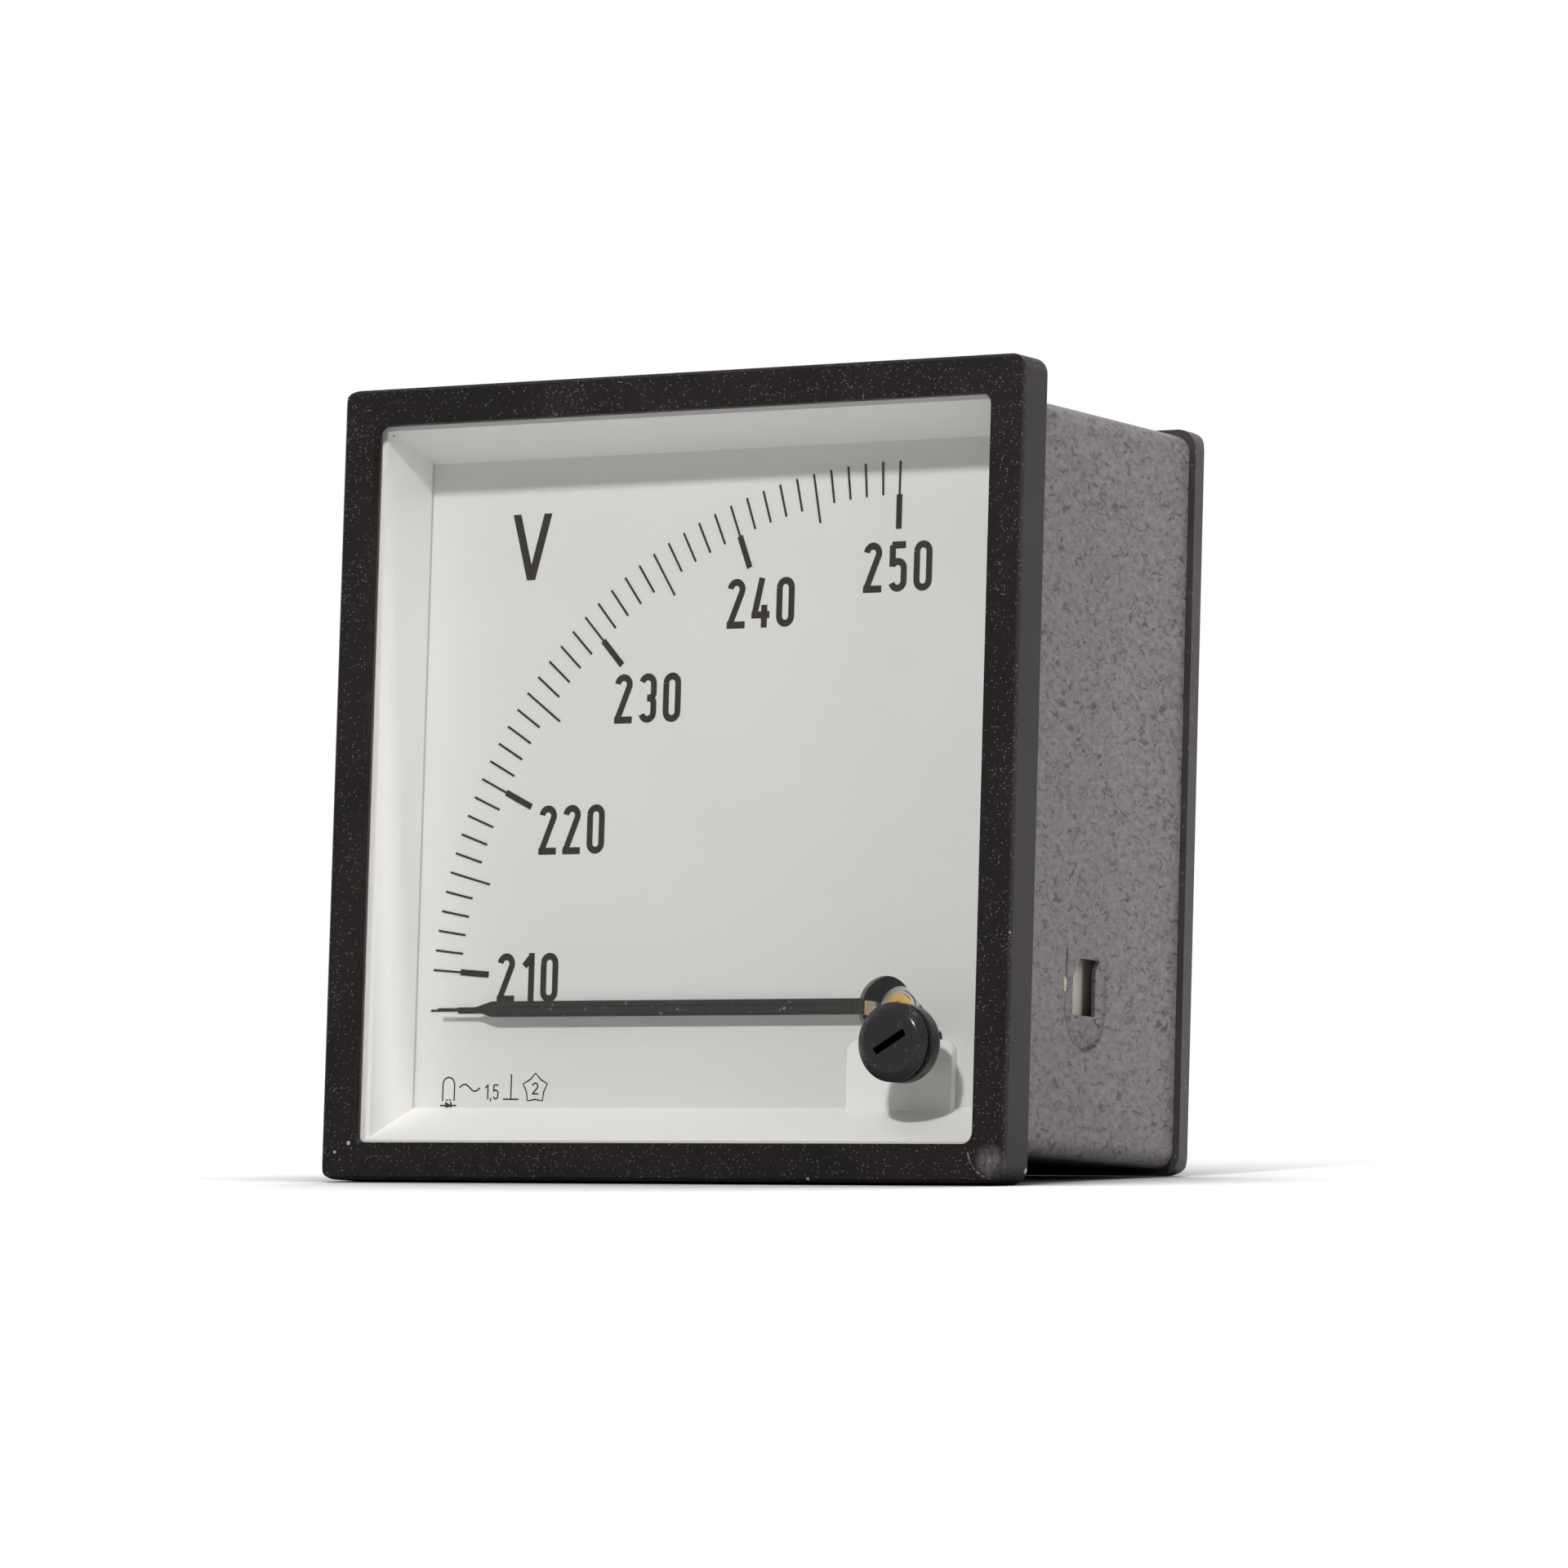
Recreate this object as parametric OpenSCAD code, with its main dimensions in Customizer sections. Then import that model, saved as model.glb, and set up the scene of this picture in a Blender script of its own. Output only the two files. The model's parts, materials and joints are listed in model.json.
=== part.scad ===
// Analog panel meter, 96 mm square front, 90 degree pointer travel.
// Moving-coil movement with a core magnet and a rectifier, pivot in the lower right corner.
// Frame: +Z up, front towards -Y, +X to the right as seen from the front.
// Origin: centre of the front frame's rear face, which seats on the panel.

/* [Front frame] */
// Side of the square front frame
bezel_w = 96; // [94:0.5:120]
// Thickness of the front frame in front of the panel
bezel_t = 5.2; // [4.9:0.1:7]
// Width of the frame's front face round the window
bezel_face = 4.5; // [4.2:0.1:5]
// Thickness of the lip in front of the glass
lip_t = 1.4; // [1:0.1:1.6]
// Radius of the frame's outer corners
bezel_corner_r = 2; // [1:0.5:4]
// Radius of the window's corners
window_corner_r = 1.4; // [0.5:0.1:3]
// Chamfer round the frame's front edge
bezel_edge = 0.4; // [0.2:0.1:1]

/* [Window glass] */
// Thickness of the pane
glass_t = 1.2; // [0.8:0.1:1.3]
// How far the pane reaches behind the lip
glass_overlap = 0.8; // [0.5:0.1:1]

/* [Sheet case] */
// How far the front frame stands out past the case on each side
bezel_seat = 3.8; // [3.4:0.1:5]
// How far the case reaches behind the panel
case_depth = 40.8; // [40:1:60]
// Thickness of the steel sheet
sheet_t = 0.6; // [0.5:0.1:0.7]
// Outer radius of the folded corners
case_corner_r = 2.2; // [1.5:0.1:3]
// How far the front flange stands out from the case
flange_w = 1.6; // [1.2:0.1:1.8]

/* [Hook pockets] */
// Width of a pressed pocket, front to back
pocket_w = 9.6; // [8:0.2:11]
// How far a pocket reaches below the slot's middle
pocket_below = 7.4; // [6:0.1:9]
// How far a pocket reaches above the slot's middle
pocket_above = 4.6; // [4:0.1:7]
// Depth of a pressed pocket at its front edge
pocket_depth = 1; // [0.7:0.1:1.2]
// Depth of a pressed pocket at its rear edge
pocket_shallow = 0.3; // [0.2:0.1:0.6]
// Width of the hook slot, front to back
slot_w = 4.6; // [4.3:0.1:5.4]
// Height of the hook slot
slot_h = 6.6; // [5:0.2:8]
// Distance of the pocket's centre behind the panel
pocket_y = 19.2; // [18.4:0.2:21]
// Distance of the slot's centre behind the panel
slot_y = 19.7; // [19:0.1:20]
// Height of the slot's centre from the middle of the case
pocket_z = 23.9; // [20:0.1:26]

/* [Mask liner] */
// Wall of the moulded liner
liner_t = 0.5; // [0.4:0.1:0.8]
// How far the side walls lean in towards the dial
liner_side = 0.5; // [0.2:0.1:0.8]
// How far the top wall leans in towards the dial
liner_top = 2.9; // [1:0.1:4]
// How far the bottom wall leans in towards the dial
liner_bottom = 4.4; // [2:0.1:5]
// Width of the tab that stands up behind the adjuster
tab_w = 14.4; // [12:0.2:15]
// How far the tab's top edge lies below the pivot
tab_below = 3.9; // [3.7:0.1:5]
// How far the tab reaches to the left of the pivot
tab_left = 4.4; // [3:0.1:6]

/* [Dial] */
// Distance of the dial's front face behind the panel
dial_y = 6.9; // [6:0.1:8]
// Thickness of the dial plate
dial_t = 0.8; // [0.5:0.1:1]
// Radius of the dial hole's round ends
dial_hole_r = 3.7; // [3.6:0.1:4]
// How far the slanting dial hole runs, along each axis
dial_hole_run = 4.3; // [4:0.1:5]

/* [Scale] */
// White margin between the graduations and the dial's left edge
scale_margin = 2.7; // [2:0.1:6]
// Length of a unit tick
tick_unit = 4; // [2:0.1:5]
// Length of a five-unit tick
tick_five = 6; // [5:0.1:7]
// Length of the thin outer part of a ten-unit tick
tick_thin = 4; // [3:0.1:5]
// Length of the bold inner part of a ten-unit tick
tick_thick = 4.1; // [3:0.1:5]
// Width of the thin ticks
tick_w = 0.25; // [0.15:0.05:0.4]
// Width of the thick part of the ten-unit ticks
tick_bold = 0.75; // [0.5:0.05:1]
// Number of units from the first tick to the last
scale_units = 40; // [20:10:50]
// Angle of the first tick above the pointer's rest
scale_start = 4.4; // [3:0.1:8]
// Angle of the last tick above the pointer's rest
scale_end = 90.1; // [80:0.1:91]

/* [Pointer] */
// Distance of the pivot axis from the case's right wall
pivot_in = 19.4; // [18.8:0.1:19.6]
// Distance of the pivot axis from the case's bottom wall
pivot_up = 16.7; // [16.5:0.1:17.6]
// How far the pointer's tip stays inside the graduations' outer ends
pointer_short = 2.2; // [1:0.1:6]
// Width of the pointer's bar
pointer_w = 1.9; // [1.6:0.1:2.2]
// Thickness of the pointer's bar
pointer_t = 0.3; // [0.3:0.05:0.5]
// Height of the two beads pressed along the bar
bead_h = 0.2; // [0.1:0.05:0.3]
// Air between the pointer and the dial
pointer_gap = 1.6; // [1:0.1:2]
// Length of the fine tip
tip_len = 5.3; // [4:0.1:8]
// Width of the fine tip
tip_w = 0.35; // [0.25:0.05:0.6]
// Length of the slanting shoulder behind the tip
shoulder_len = 2.6; // [1:0.1:4]

/* [Zero adjuster] */
// How far the adjuster's axis lies to the right of the pivot
knob_right = 7.7; // [7.4:0.1:7.8]
// How far the adjuster's axis lies below the pivot
knob_below = 4.8; // [4.5:0.1:5]
// Radius of the adjuster's head and collar
knob_r = 4.65; // [4:0.05:5]
// How far the head stands in front of the glass
knob_h = 1.1; // [0.9:0.1:1.3]
// Radial width of the chamfer round the head
knob_chamfer = 1; // [0.5:0.1:1.2]
// Radius of the adjuster's shaft in the glass
shaft_r = 2.6; // [2.5:0.1:3]
// Thickness of the collar behind the glass
collar_t = 1.7; // [1:0.1:2]
// Width of the screwdriver slot
driver_w = 0.9; // [0.6:0.1:1.2]
// Length of the screwdriver slot
driver_len = 4.6; // [4:0.2:5]
// Depth of the screwdriver slot
driver_depth = 1.6; // [0.6:0.1:1.8]
// Angle of the screwdriver slot
driver_angle = 30; // [0:5:90]
// Offset of the crank pin from the adjuster's axis
crank = 1.9; // [1.8:0.05:1.95]
// Radius of the crank pin
crank_pin_r = 0.6; // [0.5:0.05:0.6]
// How far the adjuster turns each way
adjust_swing = 25; // [15:1:25]

/* [Movement] */
// Radius of the core magnet
core_r = 8; // [7.5:0.1:8]
// How much shorter the core magnet is than the case behind the panel
core_short = 30.2; // [30.2:0.1:31.8]
// Wall of the soft-iron yoke ring
yoke_t = 3.2; // [2.8:0.1:3.2]
// Radial thickness of the wound coil
coil_t = 1.5; // [1.2:0.1:1.6]
// Width of the wound coil
coil_w = 3; // [2:0.1:3.2]
// Air between the coil and the iron
coil_air = 0.6; // [0.5:0.1:0.6]
// Radius of the pivot pins
pin_r = 0.3; // [0.2:0.05:0.4]
// Radius of the jewel screws
jewel_r = 1.85; // [1.7:0.05:1.85]
// Thickness of the bridges
bridge_t = 1.2; // [1:0.1:1.2]
// Radius of the balance weights
weight_r = 1.7; // [1.2:0.05:1.7]
// Length of the weight opposite the pointer
weight_len = 4.9; // [3:0.1:5]
// Turns of each hairspring
spring_turns = 3; // [2:1:4]

/* [Rear cover] */
// How far the rear cover stands out past the case on each side
cover_lip = 0.8; // [0.5:0.1:2]
// Thickness of the rear cover
cover_t = 2.6; // [2.4:0.1:4]
// Radius of the cover's corners
cover_corner_r = 2.6; // [2:0.1:4]
// Distance of each corner screw from the case's walls
screw_in = 5.2; // [5:0.1:5.6]

/* [Terminals] */
// Radius of the terminal studs
stud_r = 2; // [1.5:0.5:2]
// Distance between the two studs
stud_spacing = 36; // [30:1:36]
// Height of the studs above the middle
stud_z = 20; // [18:0.5:22]
// Free length of each stud behind its outer nut
stud_free = 4; // [3:0.5:10]

/* [Fits] */
// Clearance between pieces that are fitted together and stay put
fit_gap = 0.15; // [0.1:0.05:0.2]
// Radial clearance of shafts that turn
run_gap = 0.05; // [0.03:0.01:0.08]
// Least air between moving and fixed pieces
air_gap = 0.4; // [0.3:0.05:0.4]

/* [Hidden] */
$fn = 64;
// Overlap of cutting tools past the face they cut
cut = 1;

// Depths, from the front to the rear
flange_step = 1;
lever_room = 2.6;
hub_step = 0.3;
spring_room = 0.6;
cross_room = 0.6;
coil_room = 1.6;
core_room_front = 1.2;
core_len = case_depth - core_short;
core_room_back = 0.6;
yoke_step_front = 0.3;
yoke_step_back = 0.2;
bridge_room = 1.4;
rear_spring_room = 0.5;
bezel_front = -bezel_t;
glass_front = bezel_front + lip_t;
glass_back = glass_front + glass_t;
flange_back = -flange_step;
flange_front = flange_back - sheet_t;
recess_front = flange_front;
dial_back = dial_y + dial_t;
lever_front = dial_back + lever_room;
lever_t = 0.7;
bridge_front = lever_front + lever_t + air_gap;
bridge_back = bridge_front + bridge_t;
hub_front = bridge_back + air_gap;
arm_front = hub_front + hub_step;
arm_t = 0.5;
spring_front = arm_front + arm_t + spring_room;
spring_h = 0.4;
cross_front = spring_front + spring_h + cross_room;
cross_t = 0.6;
coil_front = cross_front + cross_t + coil_room;
core_front = coil_front + coil_t + core_room_front;
core_back = core_front + core_len;
coil_back = core_back + core_room_back + coil_t;
yoke_front = coil_front + coil_t - yoke_step_front;
yoke_back = coil_back - coil_t + yoke_step_back;
base_t = 2;
base_back = yoke_back + base_t;
rear_bridge_front = base_back + bridge_room;
rear_bridge_back = rear_bridge_front + bridge_t;
rear_hub_back = rear_bridge_front - air_gap;
rear_spring_front = coil_back + rear_spring_room;
cover_front = case_depth;
cover_back = cover_front + cover_t;

// Half widths and radii
bezel_half = bezel_w / 2;
window_half = bezel_half - bezel_face;
glass_half = window_half + glass_overlap;
case_half = bezel_half - bezel_seat;
case_inner = case_half - sheet_t;
flange_half = case_half + flange_w;
touch_gap = 0.1;
liner_rim_t = 0.4;
dial_inset = 0.4;
liner_outer = case_inner - touch_gap;
liner_inner = liner_outer - liner_rim_t;
dial_half = case_inner - dial_inset;
glass_corner_r = 0.5;
rebate_corner_r = 0.6;
cover_half = case_half + cover_lip;
screw_at = case_inner - screw_in;

// Pivot, scale and adjuster in the plane of the dial
pivot_x = case_inner - pivot_in;
pivot_z = -case_inner + pivot_up;
scale_r = pivot_x + dial_half - scale_margin;
pointer_r = scale_r - pointer_short;
knob_x = pivot_x + knob_right;
knob_z = pivot_z - knob_below;
tab_top = pivot_z - tab_below;

// Movement
core_air = 0.7;
bush_wall = 0.35;
ring_wall = 0.5;
arm_gap = 0.3;
coil_inner = core_r + core_air + coil_air;
coil_outer = coil_inner + coil_t;
yoke_inner = sqrt(coil_outer * coil_outer + coil_w * coil_w / 4) + air_gap;
yoke_outer = yoke_inner + yoke_t;
post_at = (yoke_inner + yoke_outer) / 2;
bush_r = jewel_r + bush_wall;
lever_ring_r = bush_r + ring_wall;
arm_inner = lever_ring_r + arm_gap;
strip_t = 0.25;
hub_r = 1.2;
pin_depth = 0.8;
union_step = 0.1;
pointer_back = dial_y - pointer_gap;
pointer_front = pointer_back - pointer_t;

// Adjuster and lever geometry
knob_reach = norm([knob_x - pivot_x, knob_z - pivot_z]);
lever_angle = atan2(knob_z - pivot_z, knob_x - pivot_x);
crank_at = knob_reach - crank;
post_angles = [-10, -85];
lug_angles = [45, 225];
rear_post_angles = [160, -20];
rear_post_out = 1.2;
rear_post_at = post_at + rear_post_out;
tail_angle = 40;
fit_touch = 0.02;

// Springs, weights and print
spring_in = hub_r + fit_touch;
spring_out = 4.3;
spring_tail = 0.4;
tail_t = 0.5;
weight_room = 1.3;
weight_at = spring_out + weight_room;
side_weight_at = 5;
print_t = 0.1;

// Screws and pillars of the carrier
screw_r = 1.4;
screw_head_r = 2.7;
screw_head_h = 1.5;
pillar_r = 3.2;
small_screw_r = 0.8;
small_head_r = 1.6;
small_head_h = 1;
small_slot_w = 0.4;
small_slot_depth = 0.5;
post_bore = 4;
corner_bore = 10;

// Circuit board
board_from_left = 6.6;
board_from_right = 18.6;
board_from_top = 10.6;
board_above_yoke = 7.4;
board_room = 3;
board_t = 1.6;
board_left = -case_inner + board_from_left;
board_right = case_inner - board_from_right;
board_low = pivot_z + yoke_outer + board_above_yoke;
board_top = case_inner - board_from_top;
board_back = yoke_back - board_room;
board_front = board_back - board_t;
board_inset = 3;
part_gap = 0.5;
diode_from_right = 29;
diode_lead = 3;
peg_r = 0.9;

// Terminals
strap_t = 0.6;
hex_r = 4.04;
washer_t = 0.8;
washer_r = 4.4;
nut_h = 3.2;
seat_h = 1;
seat_back = cover_back + seat_h;
stud_end = seat_back + 2 * (washer_t + nut_h) + stud_free;

// A flat profile, drawn as seen from the front, extruded from depth y0 to y1
module slab(y0, y1) {
    translate([0, y1, 0]) rotate([90, 0, 0]) linear_extrude(y1 - y0) children();
}

// A round bar along Y, or a cone with radius r at y0 and r_back at y1
module rod(y0, y1, r, r_back = undef) {
    r1 = is_undef(r_back) ? r : r_back;
    translate([0, y1, 0]) rotate([90, 0, 0]) cylinder(h = y1 - y0, r1 = r1, r2 = r);
}

// A rectangle with round corners, centred
module round_rect(w, h, r) {
    square([w, h - 2 * r], center = true);
    square([w - 2 * r, h], center = true);
    for (sx = [-1, 1], sz = [-1, 1])
        translate([sx * (w / 2 - r), sz * (h / 2 - r)]) circle(r);
}

// A block whose section changes evenly from front to back; each end is [half width, top, bottom]
module tapered_block(y0, y1, front, back) {
    reach = 60;
    intersection() {
        translate([0, 0, -reach]) linear_extrude(2 * reach)
            polygon([[-front[0], y0], [front[0], y0], [back[0], y1], [-back[0], y1]]);
        translate([-reach, 0, 0]) rotate([90, 0, 90]) linear_extrude(2 * reach)
            polygon([[y0, front[2]], [y0, front[1]], [y1, back[1]], [y1, back[2]]]);
    }
}

// A square plate with round corners and a chamfer round one of its faces
module edged_plate(y0, y1, half, r, edge, edge_in_front) {
    slope = edge_in_front ? [half - edge, half, half] : [half, half, half - edge];
    mid = edge_in_front ? y0 + edge : y1 - edge;
    reach = 60;
    outline = [[-slope[0], y0], [slope[0], y0], [slope[1], mid], [slope[2], y1],
        [-slope[2], y1], [-slope[1], mid]];
    intersection() {
        slab(y0, y1) round_rect(2 * half, 2 * half, r);
        translate([0, 0, -reach]) linear_extrude(2 * reach) polygon(outline);
        translate([-reach, 0, 0]) rotate([90, 0, 90]) linear_extrude(2 * reach)
            polygon([for (p = outline) [p[1], p[0]]]);
    }
}

// Places children on the pivot axis or on the adjuster's axis
module at_pivot() translate([pivot_x, 0, pivot_z]) children();
module at_knob() translate([knob_x, 0, knob_z]) children();

// Turns children about the Y axis, counter-clockwise as seen from the front
module turned(angle) rotate([0, -angle, 0]) children();

// Places children at the four corner screws
module at_corners() {
    for (sx = [-1, 1], sz = [-1, 1]) translate([sx * screw_at, 0, sz * screw_at]) children();
}

// Places children at the two terminal studs
module at_studs() {
    for (sx = [-1, 1]) translate([sx * stud_spacing / 2, 0, stud_z]) children();
}

// Moulded front frame: lip, glass rebate, flange recess and snap nibs
module bezel() {
    nib_len = 10;
    nib_at = 20;
    nib_t = 0.5;
    nib_reach = 0.5;
    nib_root = 0.2;
    recess_half = flange_half + fit_gap;
    color([0.09, 0.085, 0.09]) union() {
        difference() {
            edged_plate(bezel_front, 0, bezel_half, bezel_corner_r, bezel_edge, true);
            slab(bezel_front - cut, cut)
                round_rect(2 * window_half, 2 * window_half, window_corner_r);
            slab(glass_front, cut) round_rect(2 * glass_half, 2 * glass_half, rebate_corner_r);
            slab(recess_front, cut)
                round_rect(2 * recess_half, 2 * recess_half, rebate_corner_r);
        }
        for (side = [0:90:270], shift = [-nib_at, nib_at])
            turned(side)
                translate([shift - nib_len / 2, flange_back + touch_gap, recess_half - nib_reach])
                    cube([nib_len, nib_t, nib_reach + nib_root]);
    }
}

// Pane behind the lip, drilled for the adjuster's shaft
module window_glass() {
    pane = 2 * (glass_half - fit_gap);
    color([0.85, 0.9, 0.92, 0.3]) difference() {
        slab(glass_front, glass_back) round_rect(pane, pane, glass_corner_r);
        at_knob() rod(glass_front - cut, glass_back + cut, shaft_r + run_gap);
    }
}

// White mask between glass and dial: flange, four leaning walls and the tab
module liner() {
    flange_out = glass_half - fit_gap;
    tab_x = pivot_x - tab_left + tab_w / 2;
    tab_t = 1;
    tab_r = 1.5;
    tab_back = dial_y - touch_gap;
    front = liner_inner;
    back_in = [liner_inner - liner_side, liner_inner - liner_top, -liner_inner + liner_bottom];
    back_out = [back_in[0] + liner_t, back_in[1] + liner_t, back_in[2] - liner_t];
    pin_air = crank_pin_r + air_gap;
    pin_angle = 180 + lever_angle;
    notch_left = knob_x - crank - pin_air;
    notch_right = knob_x + crank * cos(pin_angle - adjust_swing) + pin_air;
    notch_low = knob_z + crank * sin(pin_angle + adjust_swing) - pin_air;
    color([0.9, 0.9, 0.88]) difference() {
        union() {
            slab(glass_back, recess_front)
                round_rect(2 * flange_out, 2 * flange_out, glass_corner_r);
            intersection() {
                tapered_block(recess_front, dial_y, [liner_outer, liner_outer, -liner_outer], back_out);
                slab(recess_front, dial_y)
                    round_rect(2 * liner_outer, 2 * liner_outer, case_corner_r);
            }
        }
        difference() {
            tapered_block(glass_back, dial_y, [front, front, -front], back_in);
            translate([tab_x - tab_w / 2, tab_back - tab_t, -case_half])
                cube([tab_w, tab_t, case_half + tab_top - tab_r]);
            translate([tab_x - tab_w / 2 + tab_r, tab_back - tab_t, -case_half])
                cube([tab_w - 2 * tab_r, tab_t, case_half + tab_top]);
            for (sx = [-1, 1])
                translate([tab_x + sx * (tab_w / 2 - tab_r), 0, tab_top - tab_r])
                    rod(tab_back - tab_t, tab_back, tab_r);
        }
        translate([notch_left, tab_back - tab_t - cut, notch_low])
            cube([notch_right - notch_left, tab_t + cut, case_half]);
    }
}

// Aluminium dial plate with its slanting hole
module dial_plate() {
    dial_corner_r = 2;
    waist_step = 0.1;
    waist_half = dial_hole_r - waist_step;
    color([0.8, 0.81, 0.79]) difference() {
        slab(dial_y, dial_back) round_rect(2 * dial_half, 2 * dial_half, dial_corner_r);
        at_pivot() slab(dial_y - cut, dial_back + cut) {
            circle(dial_hole_r);
            translate([dial_hole_run, -dial_hole_run]) circle(dial_hole_r);
            rotate(-45) translate([0, -waist_half])
                square([dial_hole_run * sqrt(2), 2 * waist_half]);
        }
    }
}

// Printed graduations: a thin tick each unit, longer each five, bold inside each ten
module dial_scale() {
    step = (scale_end - scale_start) / scale_units;
    color([0.12, 0.11, 0.1]) at_pivot() {
        for (i = [0:scale_units]) {
            angle = 180 - scale_start - i * step;
            if (i % 10 == 0) long_tick(angle);
            else tick(angle, scale_r - (i % 5 == 0 ? tick_five : tick_unit), scale_r, tick_w);
        }
        long_tick(180);
    }
}

// One printed tick between two radii
module tick(angle, r0, r1, w) turned(angle)
    translate([r0, dial_y - print_t, -w / 2]) cube([r1 - r0, print_t, w]);

// A ten-unit tick: thin outside, bold inside
module long_tick(angle) {
    tick(angle, scale_r - tick_thin, scale_r, tick_w);
    tick(angle, scale_r - tick_thin - tick_thick, scale_r - tick_thin, tick_bold);
}

// The outline of a pressed pocket, round at its lower end, as seen from the case's side
module pocket_outline(grow) {
    w = pocket_w + 2 * grow;
    round_z = -pocket_z - pocket_below + pocket_w / 2;
    translate([pocket_y, round_z]) circle(w / 2);
    translate([pocket_y - w / 2, round_z]) square([w, -pocket_z + pocket_above + grow - round_z]);
}

// A solid that fills a pocket from depth d0 below the sheet's face; its floor rises to the
// rear and to its upper end
module pocket_block(grow, d0, d1) {
    ramp = 4;
    top = -pocket_z + pocket_above + grow;
    bottom = -pocket_z - 2 * pocket_below;
    front = pocket_y - pocket_w / 2 - grow;
    rear = pocket_y + pocket_w / 2 + grow;
    rise = pocket_depth - pocket_shallow;
    intersection() {
        translate([case_half - d1, 0, 0]) rotate([90, 0, 90]) linear_extrude(d1 - d0)
            pocket_outline(grow);
        translate([0, 0, bottom]) linear_extrude(top + ramp - bottom)
            polygon([[case_half + cut, front], [case_half - d1, front],
                [case_half - d1 + rise, rear], [case_half + cut, rear]]);
        rotate([90, 0, 0]) linear_extrude(4 * pocket_y, center = true)
            polygon([[case_half + cut, top + ramp / 4], [case_half + cut, bottom],
                [case_half - d1, bottom], [case_half - d1, top - ramp]]);
    }
}

// Folded steel case: square tube, outward front flange, two pressed hook pockets
module case_body() {
    slot_reach = 4;
    color([0.5, 0.48, 0.5]) difference() {
        union() {
            difference() {
                union() {
                    slab(flange_front, case_depth)
                        round_rect(2 * case_half, 2 * case_half, case_corner_r);
                    slab(flange_front, flange_back)
                        round_rect(2 * flange_half, 2 * flange_half, case_corner_r);
                }
                slab(flange_front - cut, case_depth + cut)
                    round_rect(2 * case_inner, 2 * case_inner, case_corner_r - sheet_t);
            }
            for (side = [0, 180]) turned(side) pocket_block(sheet_t, 0, pocket_depth + sheet_t);
        }
        for (side = [0, 180]) turned(side) {
            pocket_block(0, -cut, pocket_depth);
            translate([case_half - slot_reach, slot_y - slot_w / 2, -pocket_z - slot_h / 2])
                cube([slot_reach + cut, slot_w, slot_h]);
        }
    }
}

// Moulded rear cover: plate, locating rim and terminal seats
module rear_cover() {
    rim_half = case_inner - fit_gap;
    rim_t = 1.2;
    rim_corner_r = 1;
    cover_edge = 0.5;
    head_gap = 0.25;
    rim_depth = 2;
    seat_r = 6.5;
    color([0.1, 0.1, 0.11]) difference() {
        union() {
            edged_plate(cover_front, cover_back, cover_half, cover_corner_r, cover_edge, false);
            difference() {
                slab(cover_front - rim_depth, cover_front + cut)
                    round_rect(2 * rim_half, 2 * rim_half, case_corner_r - sheet_t);
                slab(cover_front - rim_depth - cut, cover_front)
                    round_rect(2 * (rim_half - rim_t), 2 * (rim_half - rim_t), rim_corner_r);
            }
            at_studs() rod(cover_back - cut, cover_back + seat_h, seat_r);
        }
        at_studs() rod(cover_front - cut, cover_back + seat_h + cut, stud_r + fit_gap);
        at_corners() {
            rod(cover_front - cut, cover_back + cut, screw_r + head_gap);
            rod(cover_back - screw_head_h, cover_back + cut, screw_head_r + head_gap);
        }
    }
}

// Four corner screws that pull the cover on to the carrier's pillars
module cover_screws() {
    reach = 8;
    slot_depth = 0.7;
    slot_t = 0.7;
    head_back = cover_back - touch_gap;
    color([0.62, 0.62, 0.6]) at_corners() difference() {
        union() {
            rod(cover_back - screw_head_h, head_back, screw_head_r);
            rod(cover_front - reach, cover_back - screw_head_h + union_step, screw_r);
        }
        translate([-screw_head_r - cut, head_back - slot_depth, -slot_t / 2])
            cube([2 * (screw_head_r + cut), slot_depth + cut, slot_t]);
    }
}

// Cream moulding that carries dial, yoke ring and circuit board, clamped by the rear cover.
// A round rib on the ring wall closes the hook slot from inside.
module movement_carrier() {
    rib_r = 3;
    rib_half = 7;
    rib_y = yoke_front + rib_r;
    side_air = 0.4;
    corner_r = 2;
    half_side = case_inner - pocket_depth - fit_gap - side_air;
    rib_step = 0.3;
    rib_x = half_side - rib_r - rib_step;
    ring_t = 0.6;
    boss_r = 2;
    peg_end = 0.6;
    opening_grow = 0.3;
    opening_side = 7;
    opening_low = 8;
    opening_top = 6;
    opening_past = 1;
    ring_seat = yoke_outer + fit_gap;
    opening = [board_right + opening_past - board_left - opening_side, base_t + 2 * cut,
        board_top - opening_top - board_low - opening_low];
    color([0.86, 0.83, 0.74]) difference() {
        union() {
            slab(yoke_back, base_back) round_rect(2 * half_side, 2 * half_side, corner_r);
            at_corners() rod(dial_back, cover_front, pillar_r);
            at_pivot() rod(yoke_front, yoke_back + cut, ring_seat + ring_t);
            translate([rib_x, rib_y, pivot_z - rib_half]) cylinder(h = 2 * rib_half, r = rib_r);
            translate([pivot_x + yoke_inner, rib_y, pivot_z - rib_half])
                cube([rib_x + rib_r - rib_step - pivot_x - yoke_inner, yoke_back + cut - rib_y,
                    2 * rib_half]);
            at_board_corners() {
                rod(board_back, base_back, boss_r);
                rod(board_front - peg_end, board_back + union_step, peg_r);
            }
        }
        at_pivot() {
            rod(yoke_front - cut, yoke_back, ring_seat);
            rod(yoke_front, base_back + cut, yoke_inner + opening_grow);
        }
        at_corners() rod(cover_front - corner_bore, cover_front + cut, screw_r + run_gap);
        translate([board_left + opening_side, yoke_back - cut, board_low + opening_low])
            cube(opening);
        for (a = rear_post_angles) at_pivot() turned(a) translate([rear_post_at, 0, 0])
            rod(yoke_back - cut, base_back + cut, small_screw_r + run_gap);
    }
}

// Places children at the circuit board's four bosses
module at_board_corners() {
    for (x = [board_left + board_inset, board_right - board_inset],
        z = [board_low + board_inset, board_top - board_inset])
        translate([x, 0, z]) children();
}

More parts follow.
